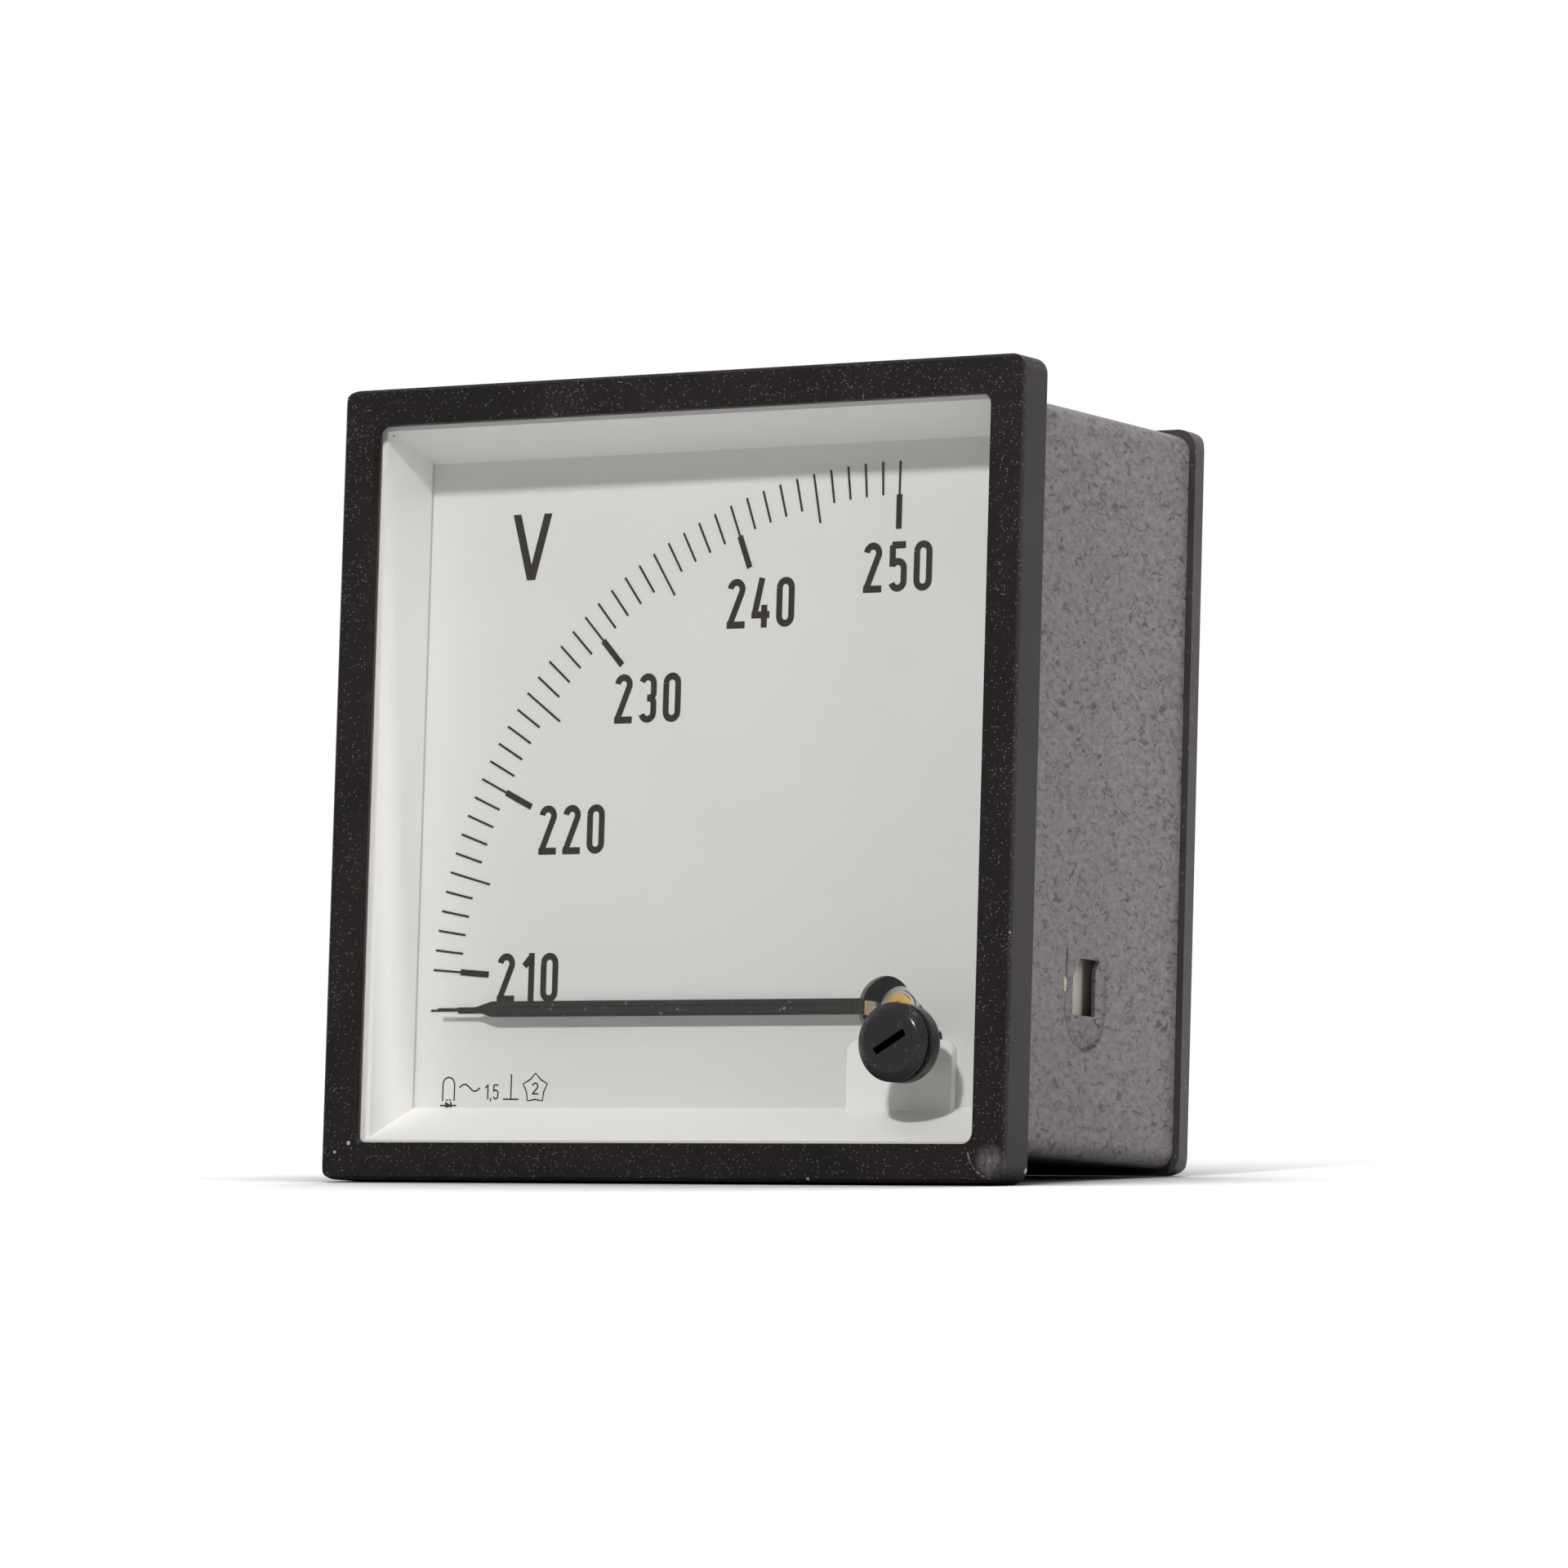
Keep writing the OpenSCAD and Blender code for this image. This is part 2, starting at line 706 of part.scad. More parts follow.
// Soft-iron ring that closes the field round the coil
module yoke_ring() {
    color([0.45, 0.45, 0.47]) at_pivot() difference() {
        rod(yoke_front, yoke_back, yoke_outer);
        rod(yoke_front - cut, yoke_back + cut, yoke_inner);
        for (a = post_angles) turned(a) translate([post_at, 0, 0])
            rod(yoke_front - cut, yoke_front + post_bore, small_screw_r + run_gap);
    }
}

// Round magnet inside the coil
module core_magnet() {
    color([0.32, 0.32, 0.34]) at_pivot() rod(core_front, core_back, core_r);
}

// Brass holder: a disc in front of the magnet and two lugs out to the yoke ring
module core_support() {
    lug_half = 15;
    lug_out = yoke_inner - fit_touch;
    disc_t = 0.7;
    disc_over = 0.5;
    eye_r = 2;
    wedge = 20;
    color([0.78, 0.62, 0.32]) at_pivot() {
        difference() {
            rod(core_front - disc_t, core_front, core_r + disc_over);
            rod(core_front - cut, core_front + cut, eye_r);
        }
        for (a = lug_angles) turned(a) intersection() {
            difference() {
                rod(core_front - disc_t, core_back, lug_out);
                rod(core_front - cut, core_back + cut, core_r + fit_touch);
            }
            slab(core_front - cut, core_back + cut)
                polygon([[0, 0], [wedge, -wedge * tan(lug_half)], [wedge, wedge * tan(lug_half)]]);
        }
    }
}

// Two-armed front bridge with the bush that holds the jewel screw
module front_bridge() {
    arm_half = 1.9;
    bush_end = 0.2;
    color([0.75, 0.74, 0.7]) at_pivot() difference() {
        union() {
            rod(lever_front - bush_end, bridge_back, bush_r);
            slab(bridge_front, bridge_back) {
                circle(lever_ring_r);
                for (a = post_angles) rotate(a) {
                    translate([0, -arm_half]) square([post_at, 2 * arm_half]);
                    translate([post_at, 0]) circle(arm_half);
                }
            }
        }
        rod(lever_front - cut, bridge_back + cut, jewel_r + fit_touch);
        for (a = post_angles) turned(a) translate([post_at, 0, 0])
            rod(bridge_front - cut, bridge_back + cut, small_screw_r + run_gap);
    }
}

// Two turned posts between the yoke ring and the front bridge
module bridge_posts() {
    post_r = 1.5;
    color([0.78, 0.62, 0.32]) at_pivot() for (a = post_angles) turned(a)
        translate([post_at, 0, 0]) difference() {
            rod(bridge_back, yoke_front, post_r);
            rod(bridge_back - cut, yoke_front + cut, small_screw_r + run_gap);
        }
}

// The driving slot of a small screw, cut from depth y0 over a length
module small_slot(y0, depth) {
    wide = small_head_r + cut;
    translate([-wide, y0, -small_slot_w / 2]) cube([2 * wide, depth, small_slot_w]);
}

// Two long screws through bridge and posts into the yoke ring
module bridge_screws() {
    end_gap = 0.4;
    color([0.62, 0.62, 0.6]) at_pivot() for (a = post_angles) turned(a)
        translate([post_at, 0, 0]) difference() {
            union() {
                rod(bridge_front - small_head_h, bridge_front, small_head_r);
                rod(bridge_front - union_step, yoke_front + post_bore - end_gap, small_screw_r);
            }
            small_slot(bridge_front - small_head_h - cut, cut + small_slot_depth);
        }
}

// Brass screw with a blind jewel hole for the pivot pin, and a ringed slot from depth slot_y
module jewel_screw(y0, y1, hole_front, hole_back, slot_y) {
    slot_depth = 0.5;
    slot_t = 0.5;
    cup_r = 0.95;
    boss_r = 0.45;
    wide = jewel_r + cut;
    difference() {
        rod(y0, y1, jewel_r);
        rod(hole_front, hole_back, pin_r + run_gap);
        difference() {
            union() {
                rod(slot_y, slot_y + slot_depth, cup_r);
                translate([-wide, slot_y, -slot_t / 2]) cube([2 * wide, slot_depth, slot_t]);
            }
            rod(slot_y - cut, slot_y + slot_depth + cut, boss_r);
        }
    }
}

// Front jewel screw, seen through the dial's hole
module front_jewel_screw() {
    stand_out = 0.4;
    hole_depth = 1;
    slot_angle = 5;
    front = lever_front - stand_out;
    color([0.8, 0.62, 0.25]) at_pivot() turned(slot_angle)
        jewel_screw(front, bridge_back, bridge_back - hole_depth, bridge_back + cut,
            front - touch_gap);
}

// Straight rear bridge on two feet, with the rear spring's anchor
module rear_bridge() {
    arm_half = 2.2;
    boss_r = 3.4;
    anchor_in = 0.3;
    anchor_t = 0.6;
    anchor_w = 1;
    anchor = spring_out + anchor_in;
    color([0.75, 0.74, 0.7]) at_pivot() difference() {
        union() {
            slab(rear_bridge_front, rear_bridge_back) rotate(rear_post_angles[0]) {
                translate([-rear_post_at, -arm_half]) square([2 * rear_post_at, 2 * arm_half]);
                for (s = [-1, 1]) translate([s * rear_post_at, 0]) circle(arm_half);
                circle(boss_r);
            }
            for (a = rear_post_angles) turned(a) translate([rear_post_at, 0, 0])
                rod(base_back, rear_bridge_back, arm_half);
            turned(rear_post_angles[0]) translate([anchor, rear_spring_front, -anchor_w / 2])
                cube([anchor_t, rear_bridge_front - rear_spring_front + union_step, anchor_w]);
        }
        rod(rear_bridge_front - cut, rear_bridge_back + cut, jewel_r + fit_touch);
        for (a = rear_post_angles) turned(a) translate([rear_post_at, 0, 0])
            rod(base_back - cut, rear_bridge_back + cut, small_screw_r + run_gap);
    }
}

// Two screws that hold the rear bridge on the carrier
module rear_bridge_screws() {
    end_gap = 0.3;
    color([0.62, 0.62, 0.6]) at_pivot() for (a = rear_post_angles) turned(a)
        translate([rear_post_at, 0, 0]) difference() {
            union() {
                rod(rear_bridge_back, rear_bridge_back + small_head_h, small_head_r);
                rod(yoke_back + end_gap, rear_bridge_back + union_step, small_screw_r);
            }
            small_slot(rear_bridge_back + small_head_h - small_slot_depth, small_slot_depth + cut);
        }
}

// Rear jewel screw
module rear_jewel_screw() {
    stand_out = 1;
    hole_depth = 1;
    slot_depth = 0.4;
    back = rear_bridge_back + stand_out;
    color([0.8, 0.62, 0.25]) at_pivot()
        jewel_screw(rear_bridge_front, back, rear_bridge_front - cut,
            rear_bridge_front + hole_depth, back - slot_depth);
}

// Black pointer: bar, slanting shoulder and fine tip, lying to the left at rest
module pointer() {
    half = pointer_w / 2;
    tip_half = tip_w / 2;
    shoulder = pointer_r - tip_len;
    bar_end = shoulder - shoulder_len;
    bar_start = 1.85;
    bead_w = 0.3;
    bead_at = pointer_w / 4;
    bead_inset = 1.5;
    color([0.1, 0.1, 0.1]) at_pivot() turned(180) union() {
        slab(pointer_front, pointer_back)
            polygon([[bar_start, -half], [bar_end, -half], [shoulder, -tip_half],
                [pointer_r, -tip_half], [pointer_r, tip_half], [shoulder, tip_half],
                [bar_end, half], [bar_start, half]]);
        slab(pointer_front - bead_h, pointer_front + union_step) for (s = [-1, 1])
            translate([bar_start + bead_inset, s * bead_at - bead_w / 2])
                square([bar_end - bar_start - 2 * bead_inset, bead_w]);
    }
}

// Bent strip that carries the pointer forward through the dial's hole
module pointer_arm() {
    half = pointer_w / 2 - union_step;
    collar_wall = 0.9;
    root = hub_r + 0.3;
    tongue = 5;
    color([0.72, 0.71, 0.64]) at_pivot() turned(180) union() {
        difference() {
            rod(arm_front, arm_front + arm_t, hub_r + collar_wall);
            rod(arm_front - cut, arm_front + arm_t + cut, hub_r + fit_touch);
        }
        translate([root, arm_front, -half])
            cube([arm_inner + strip_t - root, arm_t, 2 * half]);
        translate([arm_inner, pointer_back, -half])
            cube([strip_t, arm_front + arm_t - pointer_back, 2 * half]);
        translate([arm_inner, pointer_back, -half]) cube([tongue, strip_t, 2 * half]);
    }
}

// Front half-shaft: hub on the coil and the pin in the front jewel
module front_pivot() {
    color([0.66, 0.66, 0.66]) at_pivot() union() {
        rod(hub_front, coil_front, hub_r);
        rod(bridge_back - pin_depth, hub_front + union_step, pin_r);
    }
}

// Rear half-shaft
module rear_pivot() {
    color([0.66, 0.66, 0.66]) at_pivot() union() {
        rod(coil_back, rear_hub_back, hub_r);
        rod(rear_hub_back - union_step, rear_bridge_front + pin_depth, pin_r);
    }
}

// Rectangular coil wound on a light frame round the core magnet
module coil() {
    half = coil_w / 2;
    color([0.72, 0.42, 0.25]) at_pivot() turned(180) difference() {
        translate([-coil_outer, coil_front, -half])
            cube([2 * coil_outer, coil_back - coil_front, coil_w]);
        translate([-coil_inner, coil_front + coil_t, -half - cut])
            cube([2 * coil_inner, coil_back - coil_front - 2 * coil_t, coil_w + 2 * cut]);
    }
}

// Flat spiral strip from the hub out to the anchor, as a band of even thickness
module spiral(turns, end_angle) {
    band = 0.15;
    per_turn = 20;
    steps = per_turn * turns;
    growth = (spring_out - spring_in) / steps;
    inner = [for (i = [0:steps]) let (r = spring_in + growth * i,
        a = end_angle + 360 / per_turn * (i - steps)) [r * cos(a), r * sin(a)]];
    outer = [for (i = [steps:-1:0]) let (r = spring_in + growth * i + band,
        a = end_angle + 360 / per_turn * (i - steps)) [r * cos(a), r * sin(a)]];
    polygon(concat(inner, outer));
}

// Front hairspring
module front_hairspring() {
    color([0.7, 0.5, 0.25]) at_pivot() slab(spring_front, spring_front + spring_h)
        spiral(spring_turns, tail_angle);
}

// Rear hairspring
module rear_hairspring() {
    color([0.7, 0.5, 0.25]) at_pivot() slab(rear_spring_front, rear_spring_front + spring_h)
        spiral(spring_turns, rear_post_angles[0]);
}

// Cross behind the pointer with a tail and two side arms for the weights
module balance_cross() {
    ring_t = 0.8;
    tail_w = 1;
    arm_w = 0.8;
    color([0.72, 0.71, 0.64]) at_pivot() difference() {
        slab(cross_front, cross_front + cross_t) {
            circle(hub_r + ring_t);
            translate([0, -tail_w / 2]) square([weight_at, tail_w]);
            translate([-arm_w / 2, -side_weight_at]) square([arm_w, 2 * side_weight_at]);
        }
        rod(cross_front - cut, cross_front + cross_t + cut, hub_r + fit_touch);
    }
}

// Three weights: a long one opposite the pointer and one on each side arm
module balance_weights() {
    mid = cross_front + cross_t / 2;
    side_r = 0.6;
    side_len = 1.4;
    color([0.8, 0.62, 0.25]) at_pivot() {
        translate([weight_at, mid, 0]) rotate([0, 90, 0]) cylinder(h = weight_len, r = weight_r);
        for (side = [0, 180]) turned(side) translate([0, mid, side_weight_at])
            cylinder(h = side_len, r = side_r);
    }
}

// Lever on the front bush: ring, forked arm for the crank pin, tail for the hairspring
module zero_lever() {
    pin_play = 0.1;
    slot_end = 0.4;
    fork_past = 2;
    fork_r = crank_at + fork_past;
    arm_half = 1.4;
    tail_half = 0.5;
    slot_half = crank_pin_r + pin_play;
    color([0.7, 0.69, 0.64]) at_pivot() difference() {
        union() {
            slab(lever_front, lever_front + lever_t) {
                circle(lever_ring_r);
                rotate(lever_angle) translate([0, -arm_half]) square([fork_r, 2 * arm_half]);
                rotate(tail_angle) translate([0, -tail_half])
                    square([spring_out + spring_tail + tail_t, 2 * tail_half]);
            }
            turned(tail_angle) translate([spring_out + spring_tail, lever_front, -tail_half])
                cube([tail_t, spring_front + spring_h - lever_front, 2 * tail_half]);
        }
        rod(lever_front - cut, lever_front + lever_t + cut, bush_r + run_gap);
        turned(lever_angle)
            translate([crank_at - slot_half - slot_end, lever_front - cut, -slot_half])
                cube([fork_r, lever_t + 2 * cut, 2 * slot_half]);
    }
}

// Black adjuster: slotted head, shaft in the glass and the crank pin to the lever
module zero_adjuster() {
    head_back = glass_front - touch_gap;
    head_front = glass_front - knob_h;
    shaft_back = glass_back + collar_t + touch_gap;
    rim = 0.25;
    pin_end = 0.3;
    color([0.11, 0.11, 0.12]) at_knob() difference() {
        union() {
            rod(head_front, head_back - rim, knob_r - knob_chamfer, knob_r);
            rod(head_back - rim, head_back, knob_r);
            rod(head_back - union_step, shaft_back, shaft_r);
            turned(180 + lever_angle) translate([crank, 0, 0])
                rod(shaft_back - union_step, bridge_front - pin_end, crank_pin_r);
        }
        turned(driver_angle) translate([-driver_len / 2, head_front - cut, -driver_w / 2])
            cube([driver_len, cut + driver_depth, driver_w]);
    }
}

// Collar pressed on the shaft behind the glass
module adjuster_collar() {
    color([0.11, 0.11, 0.12]) at_knob() difference() {
        rod(glass_back + touch_gap, glass_back + touch_gap + collar_t, knob_r);
        rod(glass_back - cut, glass_back + collar_t + cut, shaft_r + fit_touch);
    }
}

// Circuit board on the carrier's bosses
module circuit_board() {
    color([0.55, 0.42, 0.2]) difference() {
        translate([board_left, board_front, board_low])
            cube([board_right - board_left, board_t, board_top - board_low]);
        at_board_corners() rod(board_front - cut, board_back + cut, peg_r + run_gap);
    }
}

// A component along X whose two leads turn back to the board
module axial_part(body_r, body_len, lead_len) {
    lead_r = 0.35;
    stand_off = 0.5;
    axis_y = board_front - body_r - stand_off;
    translate([0, axis_y, 0]) rotate([0, 90, 0]) cylinder(h = body_len, r = body_r);
    translate([-lead_len, axis_y, 0]) rotate([0, 90, 0])
        cylinder(h = body_len + 2 * lead_len, r = lead_r);
    for (x = [-lead_len + lead_r, body_len + lead_len - lead_r])
        translate([x, 0, 0]) rod(axis_y, board_front, lead_r);
}

// Two wirewound series resistors across the board, on their leads
module series_resistors() {
    body_r = 2.6;
    pitch = 8;
    from_left = 8;
    from_top = 7;
    lead_len = 3.5;
    right_end = board_right - diode_from_right - diode_lead - part_gap;
    body_len = right_end - lead_len - board_left - from_left;
    color([0.75, 0.72, 0.62]) for (i = [0, 1])
        translate([board_left + from_left, 0, board_top - from_top - i * pitch])
            axial_part(body_r, body_len, lead_len);
}

// Four rectifier diodes in a row
module rectifier_diodes() {
    body_r = 1.35;
    body_len = 5;
    pitch = 5;
    from_low = 11;
    color([0.14, 0.14, 0.15]) for (i = [0:3])
        translate([board_right - diode_from_right, 0, board_low + from_low + i * pitch])
            axial_part(body_r, body_len, diode_lead);
}

// Upright smoothing capacitor
module smoothing_capacitor() {
    can_r = 4;
    can_len = 8.2;
    foot_h = 0.3;
    foot_r = 2.5;
    from_right = 11;
    from_low = 17;
    color([0.2, 0.25, 0.38]) translate([board_right - from_right, 0, board_low + from_low]) union() {
        rod(board_front - foot_h - can_len, board_front - foot_h, can_r);
        rod(board_front - foot_h - union_step, board_front, foot_r);
    }
}

// Two threaded studs with hexagon heads inside the cover
module terminal_studs() {
    head_h = 2.6;
    groove_len = 0.8;
    groove_depth = 0.4;
    tip_bevel = 0.4;
    groove_front = stud_end - stud_free;
    groove_back = groove_front + groove_len;
    color([0.8, 0.68, 0.4]) at_studs() union() {
        rod(cover_front - strap_t - head_h, cover_front - strap_t, hex_r, $fn = 6);
        rod(cover_front - strap_t - union_step, groove_front, stud_r);
        rod(groove_front - union_step, groove_back, stud_r - groove_depth);
        rod(groove_back, stud_end - tip_bevel, stud_r);
        rod(stud_end - tip_bevel, stud_end, stud_r, stud_r - tip_bevel);
    }
}

// Two nuts on each stud
module terminal_nuts() {
    fronts = [seat_back + washer_t, seat_back + 2 * washer_t + nut_h];
    color([0.8, 0.68, 0.4]) at_studs() for (y = fronts)
        difference() {
            rod(y, y + nut_h, hex_r, $fn = 6);
            rod(y - cut, y + nut_h + cut, stud_r + run_gap);
        }
}

// A washer under each nut
module terminal_washers() {
    color([0.68, 0.68, 0.66]) at_studs() for (y = [seat_back, seat_back + washer_t + nut_h])
        difference() {
            rod(y, y + washer_t, washer_r);
            rod(y - cut, y + washer_t + cut, stud_r + fit_gap);
        }
}

// Brass straps from the studs' heads forward to the circuit board
module terminal_straps() {
    eye_r = 4.2;
    leg_w = 3;
    leg_step = 1.6;
    leg_low = eye_r + leg_step;
    color([0.8, 0.62, 0.25]) at_studs() difference() {
        union() {
            rod(cover_front - strap_t, cover_front, eye_r);
            translate([-leg_w / 2, cover_front - strap_t, -leg_low])
                cube([leg_w, strap_t, eye_r]);
            translate([-leg_w / 2, board_back, -leg_low])
                cube([leg_w, cover_front - board_back, strap_t]);
        }
        rod(cover_front - strap_t - cut, cover_front + cut, stud_r + run_gap);
    }
}

bezel();
window_glass();
liner();
dial_plate();
dial_scale();
case_body();  // case
rear_cover();
cover_screws();
movement_carrier();
yoke_ring();
core_magnet();
core_support();
front_bridge();
bridge_posts();
bridge_screws();
front_jewel_screw();
rear_bridge();
rear_bridge_screws();
rear_jewel_screw();
pointer();
pointer_arm();
front_pivot();
rear_pivot();
coil();
front_hairspring();
rear_hairspring();
balance_cross();
balance_weights();
zero_lever();
zero_adjuster();
adjuster_collar();
circuit_board();
series_resistors();
rectifier_diodes();
smoothing_capacitor();
terminal_studs();
terminal_nuts();
terminal_washers();
terminal_straps();
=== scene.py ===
import json
from math import atan2, cos, pi, radians, sin

import bpy
from mathutils import Matrix, Vector

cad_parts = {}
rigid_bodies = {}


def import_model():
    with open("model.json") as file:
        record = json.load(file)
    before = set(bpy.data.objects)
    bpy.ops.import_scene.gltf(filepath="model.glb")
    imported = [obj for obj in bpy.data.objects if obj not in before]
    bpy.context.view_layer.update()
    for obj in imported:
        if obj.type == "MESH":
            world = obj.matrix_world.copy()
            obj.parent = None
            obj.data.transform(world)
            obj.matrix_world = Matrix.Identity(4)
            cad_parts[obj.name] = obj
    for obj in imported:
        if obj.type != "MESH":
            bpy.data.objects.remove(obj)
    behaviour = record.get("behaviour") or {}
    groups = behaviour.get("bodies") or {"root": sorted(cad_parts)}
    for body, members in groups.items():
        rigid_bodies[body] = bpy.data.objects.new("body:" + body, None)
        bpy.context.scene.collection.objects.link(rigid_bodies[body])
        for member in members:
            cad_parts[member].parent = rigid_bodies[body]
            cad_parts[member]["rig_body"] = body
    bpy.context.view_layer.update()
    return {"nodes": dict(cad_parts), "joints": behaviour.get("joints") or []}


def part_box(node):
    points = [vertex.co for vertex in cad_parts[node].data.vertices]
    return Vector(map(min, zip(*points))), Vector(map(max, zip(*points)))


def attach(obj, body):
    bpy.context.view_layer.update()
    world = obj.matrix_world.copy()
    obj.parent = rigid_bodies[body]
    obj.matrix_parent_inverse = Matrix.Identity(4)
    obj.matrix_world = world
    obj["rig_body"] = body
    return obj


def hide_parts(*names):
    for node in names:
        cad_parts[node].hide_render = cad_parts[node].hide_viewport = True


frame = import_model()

MM = 0.001
nodes = frame["nodes"]
joints = {joint["name"]: joint for joint in frame["joints"]}
pivot = Vector(joints["pointer_swing"]["pos_m"])


# ---- Carrier, circuit board and parts on it -----------------------------------
# A cream moulding holds everything inside the case. The laminate board is pegged
# to its bosses, with wirewound resistors, rectifier diodes and a capacitor.

def principled(name, color, roughness, metallic=0.0, specular=0.5):
    """A new material, and its Principled shader."""
    material = bpy.data.materials.new(name)
    material.use_nodes = True
    shader = material.node_tree.nodes["Principled BSDF"]
    shader.inputs["Base Color"].default_value = (*color, 1)
    shader.inputs["Roughness"].default_value = roughness
    shader.inputs["Metallic"].default_value = metallic
    shader.inputs["Specular IOR Level"].default_value = specular
    material.diffuse_color = (*color, 1)
    return material, shader


def shader_group(name, inputs, outputs):
    """An empty shader node group with the named float inputs and outputs."""
    group = bpy.data.node_groups.new(name, "ShaderNodeTree")
    for label, value in inputs:
        socket = group.interface.new_socket(label, in_out="INPUT", socket_type="NodeSocketFloat")
        socket.default_value = value
    for label in outputs:
        group.interface.new_socket(label, in_out="OUTPUT", socket_type="NodeSocketFloat")
    start = group.nodes.new("NodeGroupInput")
    end = group.nodes.new("NodeGroupOutput")
    return group, start, end


def build_moulded_grain():
    """Fine uneven surface of moulded or painted parts: a height, and a slow change of tone."""
    group, start, end = shader_group("moulded_grain", [("Scale", 2500), ("Patch", 120)],
                                     ["Height", "Tone"])
    place = group.nodes.new("ShaderNodeTexCoord")
    fine = group.nodes.new("ShaderNodeTexNoise")
    fine.inputs["Detail"].default_value = 3
    slow = group.nodes.new("ShaderNodeTexNoise")
    slow.inputs["Detail"].default_value = 2
    group.links.new(place.outputs["Object"], fine.inputs["Vector"])
    group.links.new(place.outputs["Object"], slow.inputs["Vector"])
    group.links.new(start.outputs["Scale"], fine.inputs["Scale"])
    group.links.new(start.outputs["Patch"], slow.inputs["Scale"])
    group.links.new(fine.outputs["Fac"], end.inputs["Height"])
    group.links.new(slow.outputs["Fac"], end.inputs["Tone"])
    return group


moulded_grain = build_moulded_grain()


def add_group(material, group, **values):
    """Places a node group in a material with its own input values."""
    node = material.node_tree.nodes.new("ShaderNodeGroup")
    node.node_tree = group
    for label, value in values.items():
        node.inputs[label].default_value = value
    return node


def add_bump(material, height, strength, distance):
    """Feeds a height into the shader's Normal."""
    tree = material.node_tree
    bump = tree.nodes.new("ShaderNodeBump")
    bump.inputs["Strength"].default_value = strength
    bump.inputs["Distance"].default_value = distance
    tree.links.new(height, bump.inputs["Height"])
    tree.links.new(bump.outputs["Normal"], tree.nodes["Principled BSDF"].inputs["Normal"])


def blend_color(material, factor, low, high, start=0.0, end=1.0):
    """A colour that runs from low to high as factor goes from start to end."""
    tree = material.node_tree
    ramp = tree.nodes.new("ShaderNodeValToRGB")
    ramp.color_ramp.elements[0].position = start
    ramp.color_ramp.elements[0].color = (*low, 1)
    ramp.color_ramp.elements[1].position = end
    ramp.color_ramp.elements[1].color = (*high, 1)
    tree.links.new(factor, ramp.inputs["Fac"])
    return ramp.outputs["Color"]


grain_depth = 0.02


def grained(name, dark, light, roughness, metallic=0.0, specular=0.5, scale=2500, patch=120,
            bump=0.15):
    """A material whose tone changes slowly between two colours, over a fine grain."""
    middle = [(a + b) / 2 for a, b in zip(dark, light)]
    material, shader = principled(name, middle, roughness, metallic, specular)
    grain = add_group(material, moulded_grain, Scale=scale, Patch=patch)
    color = blend_color(material, grain.outputs["Tone"], dark, light, 0.3, 0.7)
    material.node_tree.links.new(color, shader.inputs["Base Color"])
    add_bump(material, grain.outputs["Height"], bump, grain_depth * MM)
    return material


def dress(names, material):
    """Gives CAD nodes their material."""
    for name in names:
        nodes[name].material_slots[0].material = material


dress(["movement_carrier"], grained("carrier_plastic", (0.6, 0.57, 0.48), (0.7, 0.67, 0.58), 0.45))
dress(["circuit_board"], grained("board_laminate", (0.3, 0.19, 0.07), (0.42, 0.28, 0.11), 0.55,
                                 patch=600))
dress(["series_resistors"], grained("resistor_ceramic", (0.55, 0.51, 0.4), (0.66, 0.62, 0.5), 0.7))
dress(["rectifier_diodes"], grained("diode_plastic", (0.012, 0.012, 0.013), (0.02, 0.02, 0.02),
                                    0.3))
dress(["smoothing_capacitor"], grained("capacitor_sleeve", (0.02, 0.04, 0.12), (0.03, 0.06, 0.16),
                                       0.25))


# ---- Moving-coil movement ------------------------------------------------------
# The copper coil turns on two steel pivots between a core magnet and a soft iron
# yoke ring. Brass screws, nickel-plated bridges and two bronze hairsprings hold it.

def turned_metal(name, dark, light, roughness):
    """Machined metal with fine tool marks that follow its grain."""
    return grained(name, dark, light, roughness, metallic=1.0, scale=5000, patch=400, bump=0.1)


brass = turned_metal("brass", (0.52, 0.33, 0.09), (0.72, 0.5, 0.18), 0.32)
nickel = turned_metal("nickel_plate", (0.42, 0.41, 0.37), (0.58, 0.56, 0.5), 0.38)
zinc = turned_metal("zinc_plate", (0.5, 0.5, 0.48), (0.66, 0.66, 0.63), 0.35)
dress(["core_support", "bridge_posts", "front_jewel_screw", "rear_jewel_screw",
       "balance_weights", "terminal_straps"], brass)
dress(["front_bridge", "rear_bridge", "zero_lever"], nickel)
dress(["bridge_screws", "rear_bridge_screws"], zinc)
dress(["yoke_ring"], turned_metal("soft_iron", (0.22, 0.22, 0.23), (0.34, 0.34, 0.35), 0.45))
dress(["core_magnet"], turned_metal("magnet_alloy", (0.12, 0.12, 0.13), (0.2, 0.2, 0.21), 0.5))
dress(["front_pivot", "rear_pivot"], turned_metal("pivot_steel", (0.5, 0.5, 0.5), (0.6, 0.6, 0.6),
                                                  0.2))
dress(["front_hairspring", "rear_hairspring"],
      turned_metal("spring_bronze", (0.5, 0.3, 0.12), (0.62, 0.4, 0.18), 0.3))
dress(["balance_cross", "pointer_arm"],
      turned_metal("light_alloy", (0.6, 0.58, 0.48), (0.72, 0.7, 0.6), 0.4))


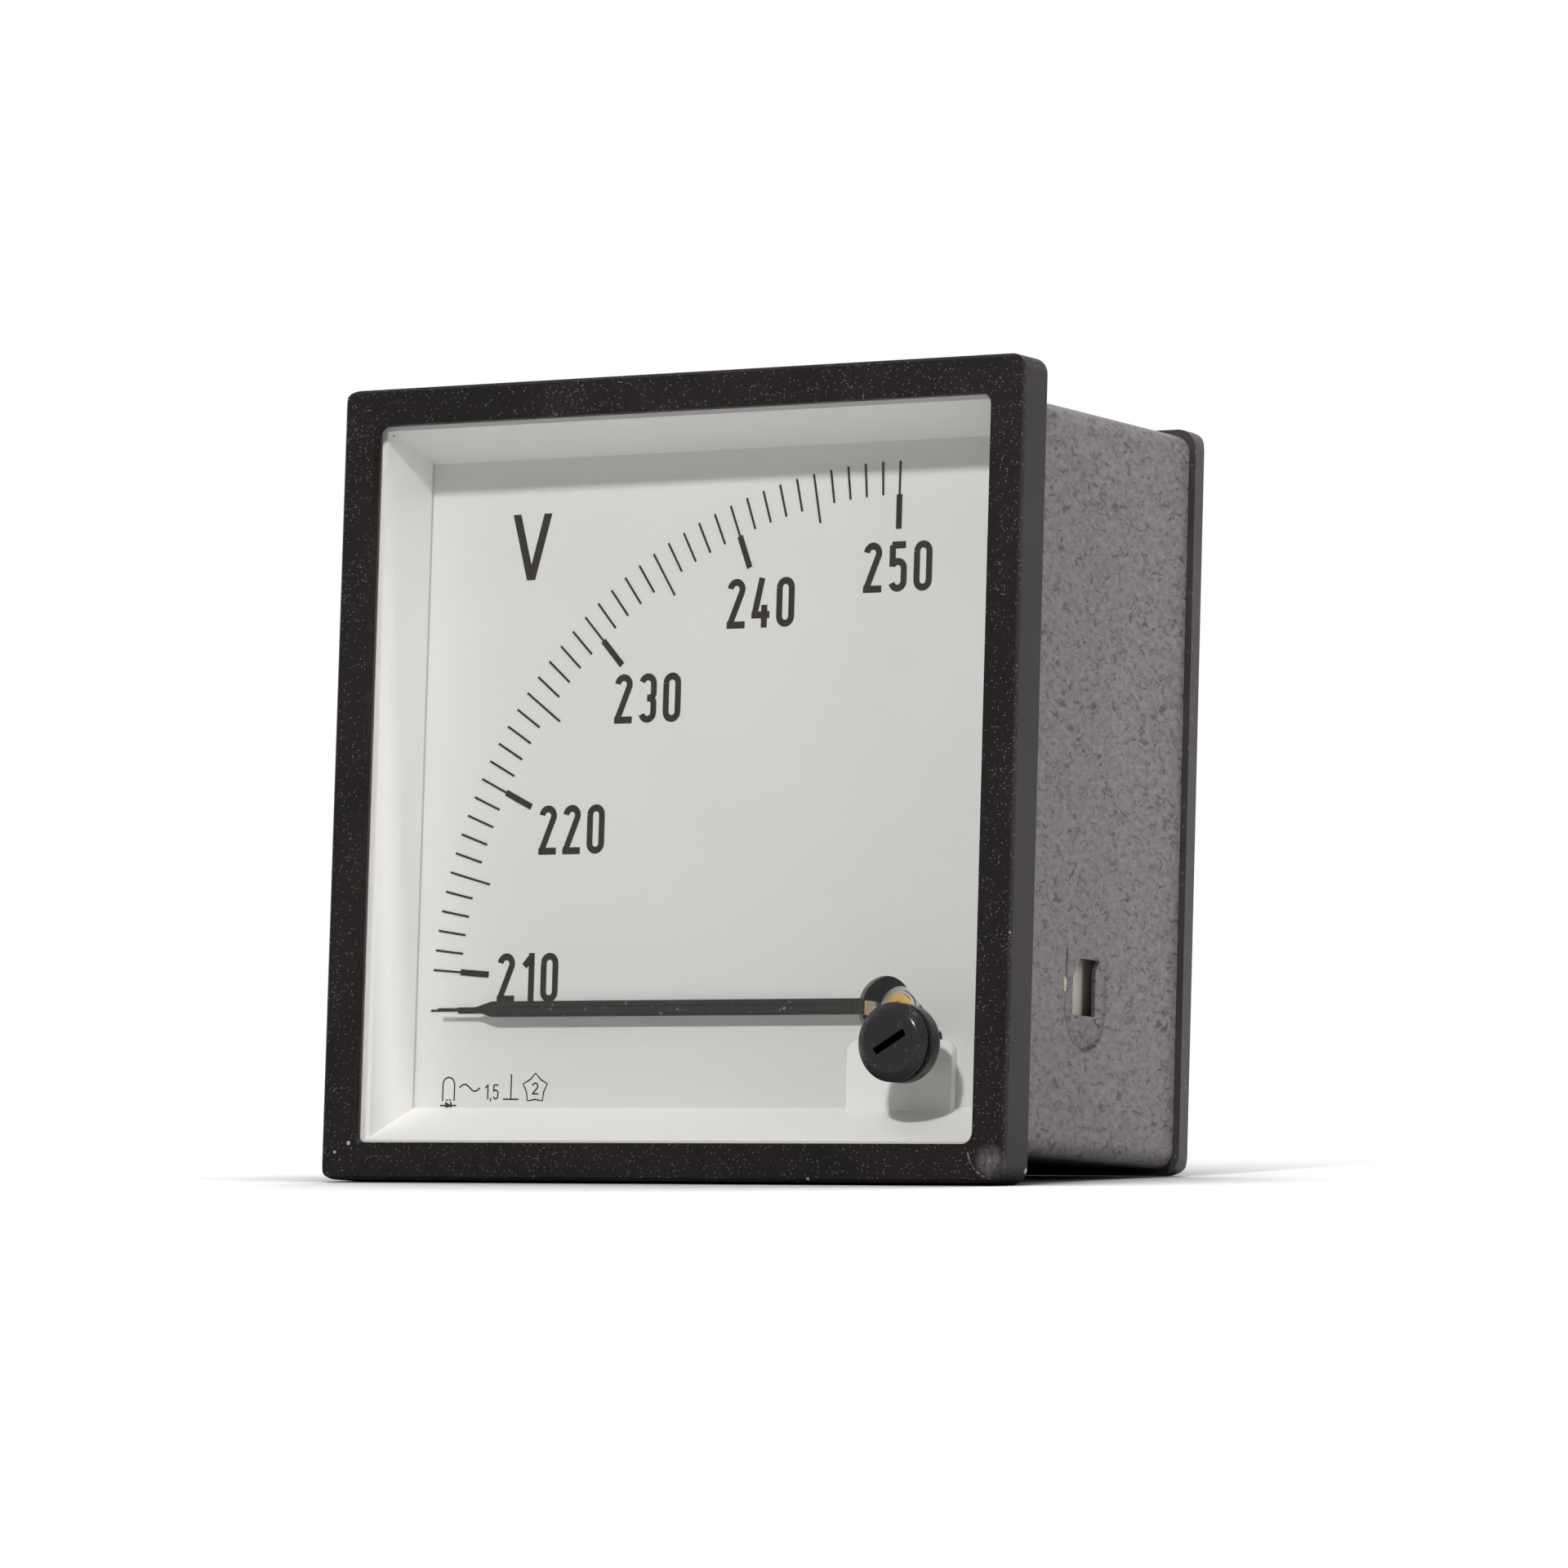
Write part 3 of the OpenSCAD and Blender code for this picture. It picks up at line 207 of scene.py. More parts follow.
def build_coil_wire():
    """Enamelled copper wire in close turns round the coil's frame, with painted shade between the
    turns.
    """
    material, shader = principled("coil_wire", (0.42, 0.15, 0.06), 0.35, metallic=0.8)
    tree = material.node_tree
    place = tree.nodes.new("ShaderNodeTexCoord")
    turns = tree.nodes.new("ShaderNodeTexWave")
    turns.bands_direction = "Z"
    turns.inputs["Scale"].default_value = wire_turns
    turns.inputs["Distortion"].default_value = wire_unevenness
    tree.links.new(place.outputs["Object"], turns.inputs["Vector"])
    # Painted shade: the wire is darkest between the turns, where its relief is lowest.
    color = blend_color(material, turns.outputs["Fac"], (0.2, 0.06, 0.02), (0.55, 0.22, 0.09))
    tree.links.new(color, shader.inputs["Base Color"])
    add_bump(material, turns.outputs["Fac"], 0.6, wire_relief * MM)
    return material


wire_turns = 1600
wire_unevenness = 0.6
wire_relief = 0.05
dress(["coil"], build_coil_wire())


# ---- Dial ----------------------------------------------------------------------
# An aluminium plate, sprayed matt white. The graduations are printed on it in
# brown-black, with the figures, the unit and the row of symbols.

dial_white = grained("dial_paint", (0.625, 0.635, 0.61), (0.64, 0.65, 0.625), 0.6, specular=0.15,
                     scale=4000, patch=60, bump=0.08)
dress(["dial_plate"], dial_white)
ink = grained("dial_ink", (0.013, 0.009, 0.006), (0.021, 0.015, 0.01), 0.6, specular=0.05)
dress(["dial_scale"], ink)

print_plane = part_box("dial_plate")[0].y
figure_stroke = 0.86
figure_w = 2.55
figure_h = 6.0
figure_gap = 0.92


def arc(x, z, radius, first, last, steps=12):
    """Points along part of a circle, by angle in degrees."""
    angles = [radians(first + (last - first) * i / steps) for i in range(steps + 1)]
    return [(x + radius * cos(a), z + radius * sin(a)) for a in angles]


def figure_strokes(figure, width, height, pen):
    """The pen's paths of a narrow upright figure, and how wide the figure is."""
    w = width - pen
    h = height - pen
    r = w / 2
    waist = 0.5 * h
    slim = w * 0.62
    flag = 0.23 * h
    loop = 0.75 * r
    bar = 0.22 * h
    post = 0.8 * w
    comma = 0.1 * w
    paths = {
        "0": [arc(r, h - r, r, 180, 0) + arc(r, r, r, 0, -180) + [(0, h - r)]],
        "1": [[(slim, -pen / 2), (slim, h + pen / 2)], [(slim, h), (0, h - flag)]],
        "2": [arc(r, h - r, r, 175, -28) + [(0, 0.01 * h)], [(-pen / 2, 0), (w + pen / 2, 0)]],
        "3": [arc(r, h - r, r, 165, 0) + arc(w - loop, waist + loop, loop, 0, -90)
              + [(0.45 * w, waist)],
              arc(w - loop, waist - loop, loop, 90, 0) + arc(r, r, r, 0, -165)],
        "4": [[(0.58 * w, h + pen / 2), (0, bar)], [(-pen / 2, bar), (w + pen / 2, bar)],
              [(post, 0.45 * h), (post, -pen / 2)]],
        "5": [[(0, h), (w + pen / 4, h)], [(pen / 8, h), (pen / 8, waist)],
              arc(r, 0.62 * h - r, r, 155, 0) + arc(r, r, r, 0, -165)],
        ",": [[(comma, 0.06 * h), (0, -0.2 * h)]],
    }
    inner = {"1": slim, ",": comma}.get(figure, w)
    return paths[figure], inner + pen


print_curve = bpy.data.curves.new("dial_figures", "CURVE")
print_curve.dimensions = "3D"
print_curve.bevel_depth = 1 * MM
print_curve.bevel_resolution = 2
print_curve.use_fill_caps = True


def pen_line(points, pen, closed=False):
    """Lays one printed stroke on the dial; points are millimetres, x to the right and z up."""
    spline = print_curve.splines.new("POLY")
    spline.points.add(len(points) - 1)
    for point, (x, z) in zip(spline.points, points):
        point.co = (x * MM, print_plane, z * MM, 1)
        point.radius = pen / 2
    spline.use_cyclic_u = closed


def write_figures(text, x, z, width, height, pen, gap):
    """Writes figures with the whole word centred on x and z."""
    words = [figure_strokes(figure, width, height, pen) for figure in text]
    total = sum(wide for _, wide in words) + gap * (len(words) - 1)
    left = x - total / 2
    for paths, wide in words:
        for path in paths:
            pen_line([(left + pen / 2 + px, z - height / 2 + pen / 2 + pz) for px, pz in path], pen)
        left += wide + gap


scale_first = 4.4
scale_last = 90.1
figure_radius = {"210": 50.9, "220": 50.0, "230": 51.0, "240": 52.0, "250": 52.1}
for index, (word, radius) in enumerate(figure_radius.items()):
    angle = radians(scale_first + (scale_last - scale_first) * index / 4)
    write_figures(word, pivot.x / MM - radius * cos(angle), pivot.z / MM + radius * sin(angle),
                  figure_w, figure_h, figure_stroke, figure_gap)

# Row of symbols: moving coil with rectifier, alternating current, class, upright
# mounting and test voltage.
thin_pen = 0.2
coil_x = -37.6
coil_top = -35.05
coil_r = 0.85
coil_foot = -37.9
lead_z = coil_foot + 0.1
lead_outer = 0.35
lead_inner = 0.1
pen_line([(coil_x - coil_r, coil_foot)] + arc(coil_x, coil_top - coil_r, coil_r, 180, 0)
         + [(coil_x + coil_r, coil_foot)], thin_pen)
for side in (-1, 1):
    pen_line([(coil_x + side * lead_outer, lead_z), (coil_x + side * lead_inner, lead_z)], thin_pen)

diode_z = -38.45
diode_wire = 1.2
diode_back = 0.4
diode_tip = 0.35
bar_x = coil_x + 0.38
bar_half = 0.45
bar_pen = 0.26
pen_line([(coil_x - diode_wire, diode_z), (coil_x + diode_wire, diode_z)], thin_pen)
pen_line([(bar_x, diode_z - bar_half), (bar_x, diode_z + bar_half)], bar_pen)
for spread in (0.12, 0.26, 0.4):
    pen_line([(coil_x - diode_back, diode_z - spread), (coil_x + diode_tip, diode_z),
              (coil_x - diode_back, diode_z + spread)], thin_pen, closed=True)

wave_x = -34.5
wave_z = -36.3
wave_half = 1.5
wave_rise = 0.42
wave_steps = 12
wave = [(wave_x + wave_half * t / wave_steps, wave_z - wave_rise * sin(pi * t / wave_steps))
        for t in range(-wave_steps, wave_steps + 1)]
pen_line(wave, thin_pen)

class_x = -31.3
class_z = -36.8
write_figures("1,5", class_x, class_z, width=0.85, height=1.85, pen=thin_pen, gap=0.18)

upright_x = -28.45
upright_top = -34.65
upright_foot = -37.7
upright_base = 1.15
pen_line([(upright_x, upright_foot), (upright_x, upright_top)], thin_pen)
pen_line([(upright_x - upright_base, upright_foot), (upright_x + upright_base, upright_foot)],
         thin_pen)

star_x = -24.95
star_z = -36.4
star_point = 1.85
star_valley = 1.32
star = []
for i, reach in enumerate((star_point, star_valley) * 5):
    turn = radians(90 + 36 * i)
    star.append((star_x + reach * cos(turn), star_z + reach * sin(turn)))
pen_line(star, thin_pen, closed=True)
write_figures("2", star_x, star_z, width=0.95, height=1.5, pen=thin_pen, gap=0)

figures = bpy.data.objects.new("dial_figures", print_curve)
bpy.context.collection.objects.link(figures)


def only(piece):
    """Selects one piece and nothing else."""
    bpy.ops.object.select_all(action="DESELECT")
    piece.select_set(True)
    bpy.context.view_layer.objects.active = piece


ink_flatness = 0.04
only(figures)
bpy.ops.object.convert(target="MESH")
bpy.ops.object.mode_set(mode="EDIT")
bpy.ops.mesh.select_all(action="SELECT")
bpy.ops.transform.resize(value=(1, ink_flatness, 1), center_override=(0, print_plane, 0))
bpy.ops.object.mode_set(mode="OBJECT")
figures = bpy.context.object
figures.data.materials.append(ink)
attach(figures, "housing")

# The unit letter has strokes that end level, so it is one cut outline.
unit_x = -27.85
unit_top = 33.5
unit_w = 5.7
unit_h = 8.1
unit_stroke = 1.15
unit_foot = 0.6
unit_notch = 1.9
unit_relief = 0.02
outline = [(-unit_w / 2, 0), (-unit_w / 2 + unit_stroke, 0), (0, -unit_h + unit_notch),
           (unit_w / 2 - unit_stroke, 0), (unit_w / 2, 0), (unit_foot, -unit_h),
           (-unit_foot, -unit_h)]
letter_curve = bpy.data.curves.new("dial_unit", "CURVE")
letter_curve.dimensions = "2D"
letter_curve.fill_mode = "BOTH"
letter_curve.extrude = unit_relief * MM
spline = letter_curve.splines.new("POLY")
spline.points.add(len(outline) - 1)
for point, (x, z) in zip(spline.points, outline):
    point.co = (x * MM, z * MM, 0, 1)
spline.use_cyclic_u = True
unit = bpy.data.objects.new("dial_unit", letter_curve)
bpy.context.collection.objects.link(unit)
only(unit)
bpy.ops.object.convert(target="MESH")
unit = bpy.context.object
unit.data.transform(Matrix.Translation((unit_x * MM, print_plane, unit_top * MM))
                    @ Matrix.Rotation(pi / 2, 4, "X"))
unit.data.materials.append(ink)
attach(unit, "housing")


# ---- Pointer -------------------------------------------------------------------
# The needle that shows the reading. It is stamped from light alloy, sprayed matt
# black and fixed on the moving element's arm, and a little dust lies on it.

def build_dust():
    """Scattered fine specks, denser in patches: a mask that is 1 at a bright speck's middle."""
    group, start, end = shader_group("dust_specks", [("Scale", 1500), ("Amount", 0.1)], ["Mask"])
    place = group.nodes.new("ShaderNodeTexCoord")
    cells = group.nodes.new("ShaderNodeTexVoronoi")
    tone = group.nodes.new("ShaderNodeSeparateColor")
    dense = group.nodes.new("ShaderNodeTexNoise")
    dense.inputs["Scale"].default_value = 90
    dense.inputs["Detail"].default_value = 3
    patch = group.nodes.new("ShaderNodeMapRange")
    patch.inputs["From Min"].default_value = 0.3
    patch.inputs["From Max"].default_value = 0.7
    patch.inputs["To Min"].default_value = 0.4
    patch.inputs["To Max"].default_value = 1.6
    limit = group.nodes.new("ShaderNodeMath")
    limit.operation = "MULTIPLY"
    chance = group.nodes.new("ShaderNodeMath")
    chance.operation = "LESS_THAN"
    spot = group.nodes.new("ShaderNodeMapRange")
    spot.inputs["From Min"].default_value = 0.55
    spot.inputs["From Max"].default_value = 0.2
    bright = group.nodes.new("ShaderNodeMath")
    bright.operation = "MULTIPLY"
    both = group.nodes.new("ShaderNodeMath")
    both.operation = "MULTIPLY"
    group.links.new(place.outputs["Object"], cells.inputs["Vector"])
    group.links.new(place.outputs["Object"], dense.inputs["Vector"])
    group.links.new(start.outputs["Scale"], cells.inputs["Scale"])
    group.links.new(cells.outputs["Color"], tone.inputs["Color"])
    group.links.new(dense.outputs["Fac"], patch.inputs["Value"])
    group.links.new(patch.outputs["Result"], limit.inputs[0])
    group.links.new(start.outputs["Amount"], limit.inputs[1])
    group.links.new(tone.outputs["Red"], chance.inputs[0])
    group.links.new(limit.outputs[0], chance.inputs[1])
    group.links.new(cells.outputs["Distance"], spot.inputs["Value"])
    group.links.new(spot.outputs["Result"], bright.inputs[0])
    group.links.new(tone.outputs["Green"], bright.inputs[1])
    group.links.new(bright.outputs[0], both.inputs[0])
    group.links.new(chance.outputs[0], both.inputs[1])
    group.links.new(both.outputs[0], end.inputs["Mask"])
    return group


dust_specks = build_dust()


def mix_in(material, factor, base, extra):
    """Base colour with extra laid over it where factor is 1; base is a socket."""
    tree = material.node_tree
    mix = tree.nodes.new("ShaderNodeMix")
    mix.data_type = "RGBA"
    tree.links.new(factor, mix.inputs["Factor"])
    tree.links.new(base, mix.inputs["A"])
    mix.inputs["B"].default_value = (*extra, 1)
    return mix.outputs["Result"]


def dusty(name, dark, light, roughness, specks, specular=0.5, scale=1500, amount=0.1, grain=2500,
          bump=0.15):
    """A grained material with specks of dust in their own colour."""
    material = grained(name, dark, light, roughness, specular=specular, scale=grain, bump=bump)
    shader = material.node_tree.nodes["Principled BSDF"]
    base = shader.inputs["Base Color"].links[0].from_socket
    dust = add_group(material, dust_specks, Scale=scale, Amount=amount)
    color = mix_in(material, dust.outputs["Mask"], base, specks)
    material.node_tree.links.new(color, shader.inputs["Base Color"])
    return material


dress(["pointer"], dusty("pointer_paint", (0.005, 0.005, 0.0045), (0.009, 0.008, 0.007), 0.45,
                         (0.3, 0.28, 0.25), specular=0.17, scale=2200, amount=0.06))


# ---- Mask liner ----------------------------------------------------------------
# A white moulding behind the glass, with four leaning walls and a tab that stands
# up behind the adjuster. Its front rim has yellowed a little.

def calculate(material, operation, first, second):
    """One step of arithmetic on two masks, or on a mask and a number."""
    step = material.node_tree.nodes.new("ShaderNodeMath")
    step.operation = operation
    for socket, value in zip(step.inputs, (first, second)):
        if isinstance(value, (int, float)):
            socket.default_value = value
        else:
            material.node_tree.links.new(value, socket)
    return step.outputs[0]


def between(material, value, start, end):
    """A mask that goes from 0 to 1 as a value goes from start to end."""
    span = material.node_tree.nodes.new("ShaderNodeMapRange")
    span.inputs["From Min"].default_value = start
    span.inputs["From Max"].default_value = end
    material.node_tree.links.new(value, span.inputs["Value"])
    return span.outputs["Result"]


def own_axes(material):
    """The X, Y and Z of each point in the piece's own space."""
    tree = material.node_tree
    place = tree.nodes.new("ShaderNodeTexCoord")
    parts = tree.nodes.new("ShaderNodeSeparateXYZ")
    tree.links.new(place.outputs["Object"], parts.inputs["Vector"])
    return parts.outputs


def build_liner_white():
    """Satin white plastic, a little brown at its side rims, and painted shade where its sides meet
    the dial.
    """
    material = grained("mask_plastic", (0.78, 0.765, 0.735), (0.8, 0.785, 0.755), 0.42,
                       specular=0.3, scale=1800, patch=40, bump=0.05)
    shader = material.node_tree.nodes["Principled BSDF"]
    color = shader.inputs["Base Color"].links[0].from_socket
    axes = own_axes(material)
    aside = calculate(material, "ABSOLUTE", axes["X"], 0.0)
    front, back = (corner.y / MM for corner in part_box("liner"))
    rim = ((front + 0.1, front), (43.8, 43.95), (0.36, 0.27, 0.22))
    # Painted shade: a grey line along the back edge of the side walls, in the gap at the dial.
    foot = ((back - 0.5, back - 0.25), (42.5, 42.7), (0.22, 0.21, 0.2))
    for (start, end), (inner, outer), yellow_and_shade_color in (rim, foot):
        yellow_and_shade_mask = calculate(material, "MULTIPLY",
                           between(material, axes["Y"], start * MM, end * MM),
                           between(material, aside, inner * MM, outer * MM))
        color = mix_in(material, yellow_and_shade_mask, color, yellow_and_shade_color)
    material.node_tree.links.new(color, shader.inputs["Base Color"])
    return material


weld_gap = 0.001
flat_angle = 0.6
bevel_angle = 35
smooth_angle = 40


def softened(node, material, width, segments=2, shape=None):
    """A copy of a CAD node with its edges rounded, which stands for the node. Width is in
    millimetres; shape is a function that first works on the copy."""
    piece = bpy.data.objects.new(node + "_finish", nodes[node].data.copy())
    bpy.context.collection.objects.link(piece)
    only(piece)
    bpy.ops.mesh.customdata_custom_splitnormals_clear()
    bpy.ops.object.mode_set(mode="EDIT")
    bpy.ops.mesh.select_all(action="SELECT")
    bpy.ops.mesh.remove_doubles(threshold=weld_gap * MM)
    bpy.ops.mesh.dissolve_limited(angle_limit=radians(flat_angle))
    bpy.ops.object.mode_set(mode="OBJECT")
    if shape:
        shape(piece)
    bevel = piece.modifiers.new("edges", "BEVEL")
    bevel.width = width * MM
    bevel.segments = segments
    bevel.limit_method = "ANGLE"
    bevel.angle_limit = radians(bevel_angle)
    bevel.miter_outer = "MITER_ARC"
    bpy.ops.object.modifier_apply(modifier="edges")
    bpy.ops.object.shade_smooth_by_angle(angle=radians(smooth_angle))
    level = piece.modifiers.new("level_faces", "WEIGHTED_NORMAL")
    level.weight = 100
    level.keep_sharp = True
    bpy.ops.object.modifier_apply(modifier="level_faces")
    piece.data.materials.clear()
    piece.data.materials.append(material)
    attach(piece, nodes[node]["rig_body"])
    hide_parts(node)


softened("liner", build_liner_white(), 0.12)


# ---- Window glass --------------------------------------------------------------
# A clear pane, bloomed against glare and clamped behind the frame's lip. The
# adjuster passes through it, and light falls through it on the dial.

def build_clear_glass():
    """Clear glass that lets the lamps' light pass."""
    material, shader = principled("window_glass", (1, 1, 1), 0.0)
    shader.inputs["Transmission Weight"].default_value = 1.0
    shader.inputs["IOR"].default_value = 1.25
    tree = material.node_tree
    path = tree.nodes.new("ShaderNodeLightPath")
    open_air = tree.nodes.new("ShaderNodeBsdfTransparent")
    choose = tree.nodes.new("ShaderNodeMixShader")
    lamp_light = calculate(material, "MAXIMUM", path.outputs["Is Shadow Ray"],
                           path.outputs["Is Diffuse Ray"])
    tree.links.new(lamp_light, choose.inputs["Fac"])
    tree.links.new(shader.outputs["BSDF"], choose.inputs[1])
    tree.links.new(open_air.outputs["BSDF"], choose.inputs[2])
    tree.links.new(choose.outputs["Shader"], tree.nodes["Material Output"].inputs["Surface"])
    return material


dress(["window_glass"], build_clear_glass())


# ---- Zero adjuster -------------------------------------------------------------
# A turned black plastic screw in the glass, with its collar pressed on from behind.
# Its crank pin moves the lever behind the dial.

def spot_mask(material, middle, reach, stretch=(1, 1, 1)):
    """A mask that is 1 at a place and 0 at its reach; lengths in millimetres."""
    tree = material.node_tree
    place = tree.nodes.new("ShaderNodeTexCoord")
    move = tree.nodes.new("ShaderNodeMapping")
    move.inputs["Location"].default_value = [-m * s * MM for m, s in zip(middle, stretch)]
    move.inputs["Scale"].default_value = stretch
    away = tree.nodes.new("ShaderNodeVectorMath")
    away.operation = "LENGTH"
    fade = tree.nodes.new("ShaderNodeMapRange")
    fade.inputs["From Min"].default_value = reach * MM
    fade.inputs["From Max"].default_value = 0
    tree.links.new(place.outputs["Object"], move.inputs["Vector"])
    tree.links.new(move.outputs["Vector"], away.inputs[0])
    tree.links.new(away.outputs["Value"], fade.inputs["Value"])
    return fade.outputs["Result"]


knob = Vector(joints["zero_adjust_turn"]["pos_m"])
head_front = min(corner.co.y for corner in nodes["zero_adjuster"].data.vertices)
face_r = 3.65
face_round = 0.4
face_shine = 0.22
slot_shade_starts = 0.04
slot_shade_full = 0.2


def build_adjuster_black():
    """Glossy black plastic, with painted shade down in the screwdriver slot: darker there and
    without shine.
    """
    material = dusty("adjuster_plastic", (0.012, 0.012, 0.0135), (0.017, 0.0165, 0.019), 0.18,
                     (0.1, 0.1, 0.1), scale=2600, amount=0.06, bump=0.06)
    tree = material.node_tree
    shader = tree.nodes["Principled BSDF"]
    # Painted shade: inside the face's circle and below the face, the slot is darkened.
    near_axis = spot_mask(material, (knob.x / MM, 0, knob.z / MM), face_r - face_round, (1, 0, 1))
    below_face = between(material, own_axes(material)["Y"], head_front + slot_shade_starts * MM,
                         head_front + slot_shade_full * MM)
    slot_shade = calculate(material, "MULTIPLY", between(material, near_axis, 0.0, 0.03), below_face)
    base = shader.inputs["Base Color"].links[0].from_socket
    color = mix_in(material, slot_shade, base, (0.002, 0.002, 0.002))
    tree.links.new(color, shader.inputs["Base Color"])
    # The painted shade also takes the shine out of the slot.
    shine = calculate(material, "MULTIPLY", between(material, slot_shade, 1.0, 0.0), face_shine)
    tree.links.new(shine, shader.inputs["Specular IOR Level"])
    return material


def round_face(piece):
    """Rounds the edge between the head's flat face and its broad chamfer."""
    bpy.ops.object.mode_set(mode="EDIT")
    bpy.ops.mesh.select_mode(type="EDGE")
    bpy.ops.mesh.select_all(action="DESELECT")
    bpy.ops.object.mode_set(mode="OBJECT")
    for edge in piece.data.edges:
        edge.select = True
        for corner in edge.vertices:
            place = piece.data.vertices[corner].co
            off_axis = Vector((place.x - knob.x, place.z - knob.z)).length
            if place.y > head_front + 0.02 * MM or abs(off_axis - face_r * MM) > 0.1 * MM:
                edge.select = False
    bpy.ops.object.mode_set(mode="EDIT")
    bpy.ops.mesh.bevel(offset=face_round * MM, segments=5)
    bpy.ops.object.mode_set(mode="OBJECT")


adjuster_black = build_adjuster_black()
softened("zero_adjuster", adjuster_black, 0.1, segments=3, shape=round_face)
softened("adjuster_collar", adjuster_black, 0.12)


# ---- Sheet case ----------------------------------------------------------------
# Folded from 0.6 mm steel and sprayed with grey hammer finish. The two hook pockets
# are pressed in, and the paint has chipped at one pocket's edge.

def cloud(material, scale, detail=3, roughness=0.5, distortion=0.0, flow=(1, 1, 1)):
    """An uneven mask from noise in the piece's own space, drawn out where flow is below 1."""
    tree = material.node_tree
    place = tree.nodes.new("ShaderNodeTexCoord")
    noise = tree.nodes.new("ShaderNodeTexNoise")
    noise.inputs["Scale"].default_value = scale
    noise.inputs["Detail"].default_value = detail
    noise.inputs["Roughness"].default_value = roughness
    noise.inputs["Distortion"].default_value = distortion
    drawn = tree.nodes.new("ShaderNodeMapping")
    drawn.inputs["Scale"].default_value = flow
    tree.links.new(place.outputs["Object"], drawn.inputs["Vector"])
    tree.links.new(drawn.outputs["Vector"], noise.inputs["Vector"])
    return noise.outputs["Fac"]


paint_flow = (1, 0.55, 1)
paint_relief = 0.08
pocket_y = 19.2
pocket_r = 4.8
pocket_turn = -26.5
pocket_top = -18.6
crease_core = 0.12
crease_edge = 0.42
chip_place = (44.1, 14.1, -24.0)
chip_reach = 0.75
chip_stretch = (1, 1, 0.42)


def build_hammer_finish():
    """Grey hammer paint: small dark curls in a mottled film, a dark line round each pocket's lower
    end, one chip.
    """
    material, shader = principled("case_paint", (0.2, 0.185, 0.195), 0.42, specular=0.28)
    mottle = cloud(material, 1500, detail=3, roughness=0.6, flow=paint_flow)
    color = blend_color(material, mottle, (0.15, 0.136, 0.142), (0.245, 0.225, 0.235), 0.3, 0.7)
    curls = cloud(material, 1150, detail=5, roughness=0.68, distortion=1.1, flow=paint_flow)
    color = mix_in(material, between(material, curls, 0.475, 0.36), color, (0.06, 0.053, 0.055))

    # The crease runs round the lower end of each pocket; the left one is upside down.
    axes = own_axes(material)
    height = calculate(material, "MULTIPLY", axes["Z"], calculate(material, "SIGN", axes["X"], 0.0))
    along = calculate(material, "SUBTRACT", axes["Y"], pocket_y * MM)
    above = calculate(material, "SUBTRACT", height, pocket_turn * MM)
    down = calculate(material, "MINIMUM", above, 0.0)
    away = calculate(material, "SQRT", calculate(material, "ADD",
                                                 calculate(material, "MULTIPLY", along, along),
                                                 calculate(material, "MULTIPLY", down, down)), 0.0)
    off_line = calculate(material, "ABSOLUTE",
                         calculate(material, "SUBTRACT", away, pocket_r * MM), 0.0)
    crease = between(material, off_line, crease_edge * MM, crease_core * MM)
    for reach in (between(material, axes["Y"], (pocket_y + 3) * MM, (pocket_y - 1) * MM),
                  between(material, height, pocket_top * MM, (pocket_top - 1.5) * MM),
                  between(material, cloud(material, 600, detail=2), 0.3, 0.5)):
        crease = calculate(material, "MULTIPLY", crease, reach)
    color = mix_in(material, crease, color, (0.02, 0.017, 0.017))

    chip = calculate(material, "MULTIPLY", cloud(material, 1500),
                     spot_mask(material, chip_place, chip_reach, chip_stretch))
    color = mix_in(material, between(material, chip, 0.22, 0.26), color, (0.62, 0.47, 0.36))
    material.node_tree.links.new(color, shader.inputs["Base Color"])
    add_bump(material, curls, 0.35, paint_relief * MM)
    return material


softened("case", build_hammer_finish(), 0.15)


# ---- Front frame ---------------------------------------------------------------
# Moulded in black plastic, with a fine eroded texture that holds dust, and a few
# scuffs at its corners from handling.

front_shine = 0.1
flank_shine = 0.26
plastic_sheen = (1.0, 0.92, 0.97, 1)
flank_starts = 47.6
flank_full = 47.9
smudge_place = (46.0, -5.2, -45.5)
smudge_reach = 2.2
scratch_turn = (46.9, -5.2, -43.7)
scratch_middle = (44.05, -5.2, -45.9)
scratch_r = 3.95
scratch_length = 2.4
scratch_span = 10.0
nicks = [((48.0, -0.3, -46.4), 0.45), ((47.9, -5.1, -19.2), 0.24), ((47.9, -5.1, 11.6), 0.2),
         ((-43.9, -5.2, -43.6), 0.35), ((-45.9, -5.2, -44.7), 0.25), ((21.5, -5.2, -47.7), 0.3)]


